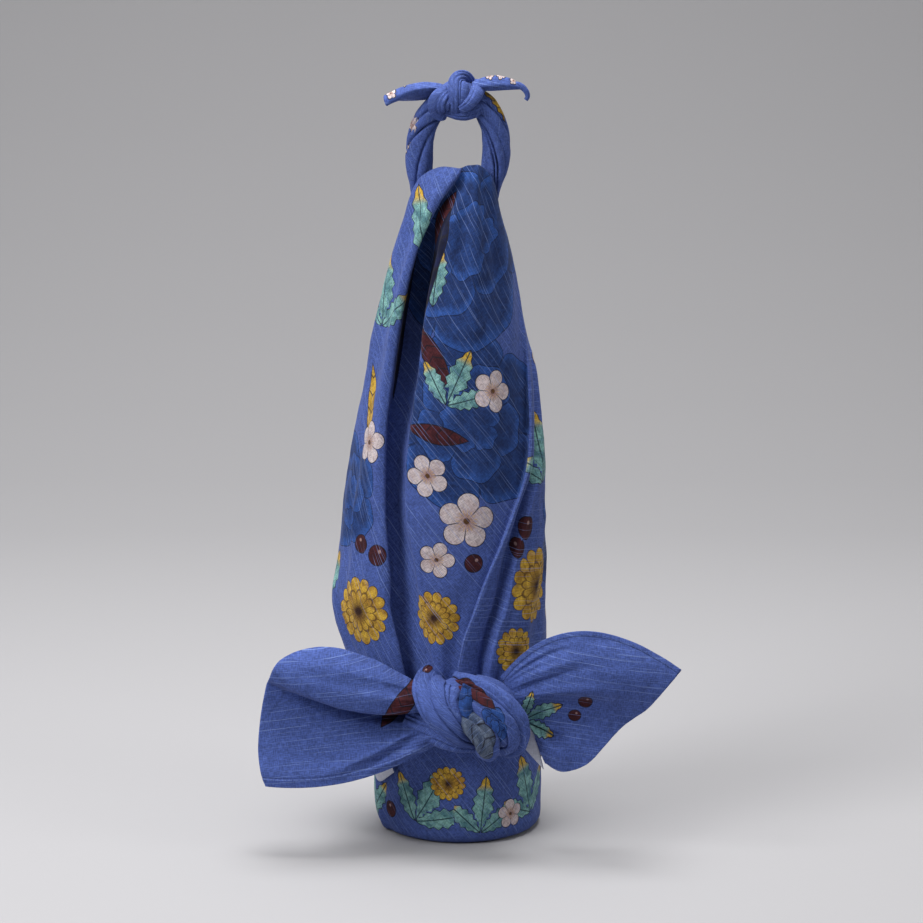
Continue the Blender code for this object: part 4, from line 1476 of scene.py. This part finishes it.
Light = namedtuple("Light", "name place aim size power")
LIGHTS = named_rows(
    Light,
    ("overhead", (0.0, 0.08, 1.45), (0, 0, 0.10), 0.8, 26),
    ("left", (-1.0, -0.9, 0.9), (0, 0, 0.17), 0.6, 10),
    ("left high", (-1.0, -0.5, 1.25), (0, 0, 0.15), 0.6, 12),
    ("right", (1.3, -0.6, 0.8), (0, 0, 0.17), 0.7, 4.5),
)
SKY_COLOUR = (1.0, 1.0, 1.02, 1.0)
SKY_STRENGTH = 0.12
SENSOR = 36  # millimetres
CAMERA_PLACE = (0.001, -1.5, 0.49)
CAMERA_AIM = (0.001, 0, 0.185)
LENS = 120.9  # millimetres


def sweep_material():
    material = bpy.data.materials.new("Sweep grey")
    material.use_nodes = True
    inputs = material.node_tree.nodes["Principled BSDF"].inputs
    inputs["Base Color"].default_value = (*SWEEP_GREY, 1.0)
    inputs["Roughness"].default_value = 0.9
    inputs["Specular IOR Level"].default_value = 0.1
    return material


def sweep():
    """Floor and backdrop in one sheet, curved between them."""
    bend_start = WALL_BACK - BEND_RADIUS
    line = [(FLOOR_FRONT, 0.0), (FLOOR_NEAR, 0.0), (bend_start, 0.0)]
    for step in range(1, BEND_STEPS + 1):
        turn = math.radians(90 * step / BEND_STEPS)
        line.append((bend_start + BEND_RADIUS * math.sin(turn), BEND_RADIUS - BEND_RADIUS * math.cos(turn)))
    line.append((WALL_BACK, WALL_HEIGHT))
    vertices = [(side * SWEEP_HALF, y, z) for y, z in line for side in (-1, 1)]
    faces = [(2 * step, 2 * step + 1, 2 * step + 3, 2 * step + 2) for step in range(len(line) - 1)]
    mesh = bpy.data.meshes.new("sweep")
    mesh.from_pydata(vertices, [], faces)
    mesh.shade_smooth()
    mesh.materials.append(sweep_material())
    add_object("sweep", mesh)


def point(obj, place, aim):
    """Put a light or camera in its place, looking at aim."""
    obj.location = place
    obj.rotation_euler = (Vector(aim) - Vector(place)).to_track_quat("-Z", "Y").to_euler()


def studio():
    for light in LIGHTS:
        data = bpy.data.lights.new(light.name, "AREA")
        data.shape = "DISK"
        data.size = light.size
        data.energy = light.power
        point(add_object(light.name, data), light.place, light.aim)
    world = bpy.data.worlds.new("studio")
    world.use_nodes = True
    sky = world.node_tree.nodes["Background"].inputs
    sky[0].default_value = SKY_COLOUR
    sky[1].default_value = SKY_STRENGTH
    bpy.context.scene.world = world
    bpy.context.scene.view_settings.view_transform = "Standard"


def camera():
    data = bpy.data.cameras.new("camera")
    data.sensor_width = SENSOR
    data.lens = LENS
    obj = add_object("camera", data)
    point(obj, CAMERA_PLACE, CAMERA_AIM)
    bpy.context.scene.camera = obj


# ----------------------------------------------------------


def flat_size(obj):
    """(width, length) in metres, worked out from the drawn mesh itself: its area over its longest side.

    This isn't the size that the cloth was cut to, which is one square of 0.70 m, so comparing a mesh with
    it shows nothing about the real cut. A heart is a closed ball, of which half is counted.
    """
    area = sum(face.area for face in obj.data.polygons)
    area *= 0.5 if obj.name.endswith("heart") else 1.0
    tall = max(obj.dimensions)
    return (round(area / tall, 3), round(tall, 3))


def main():
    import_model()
    printed, reverse = printed_cloth(), reverse_cloth()
    pieces = [body()]
    pieces += [tube(*tie) for tie in TIES]
    pieces += [heart("top_heart", TOP_HEART), heart("front_heart", FRONT_HEART)]
    pieces += free_corners()
    for piece in pieces:
        piece.data.materials.append(printed)
        piece.data.materials.append(reverse)
        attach(piece, "root")
        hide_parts(NODE)
    bpy.context.view_layer.update()
    for piece in pieces:
        flat_size(piece)
    sweep()
    studio()
    camera()


main()
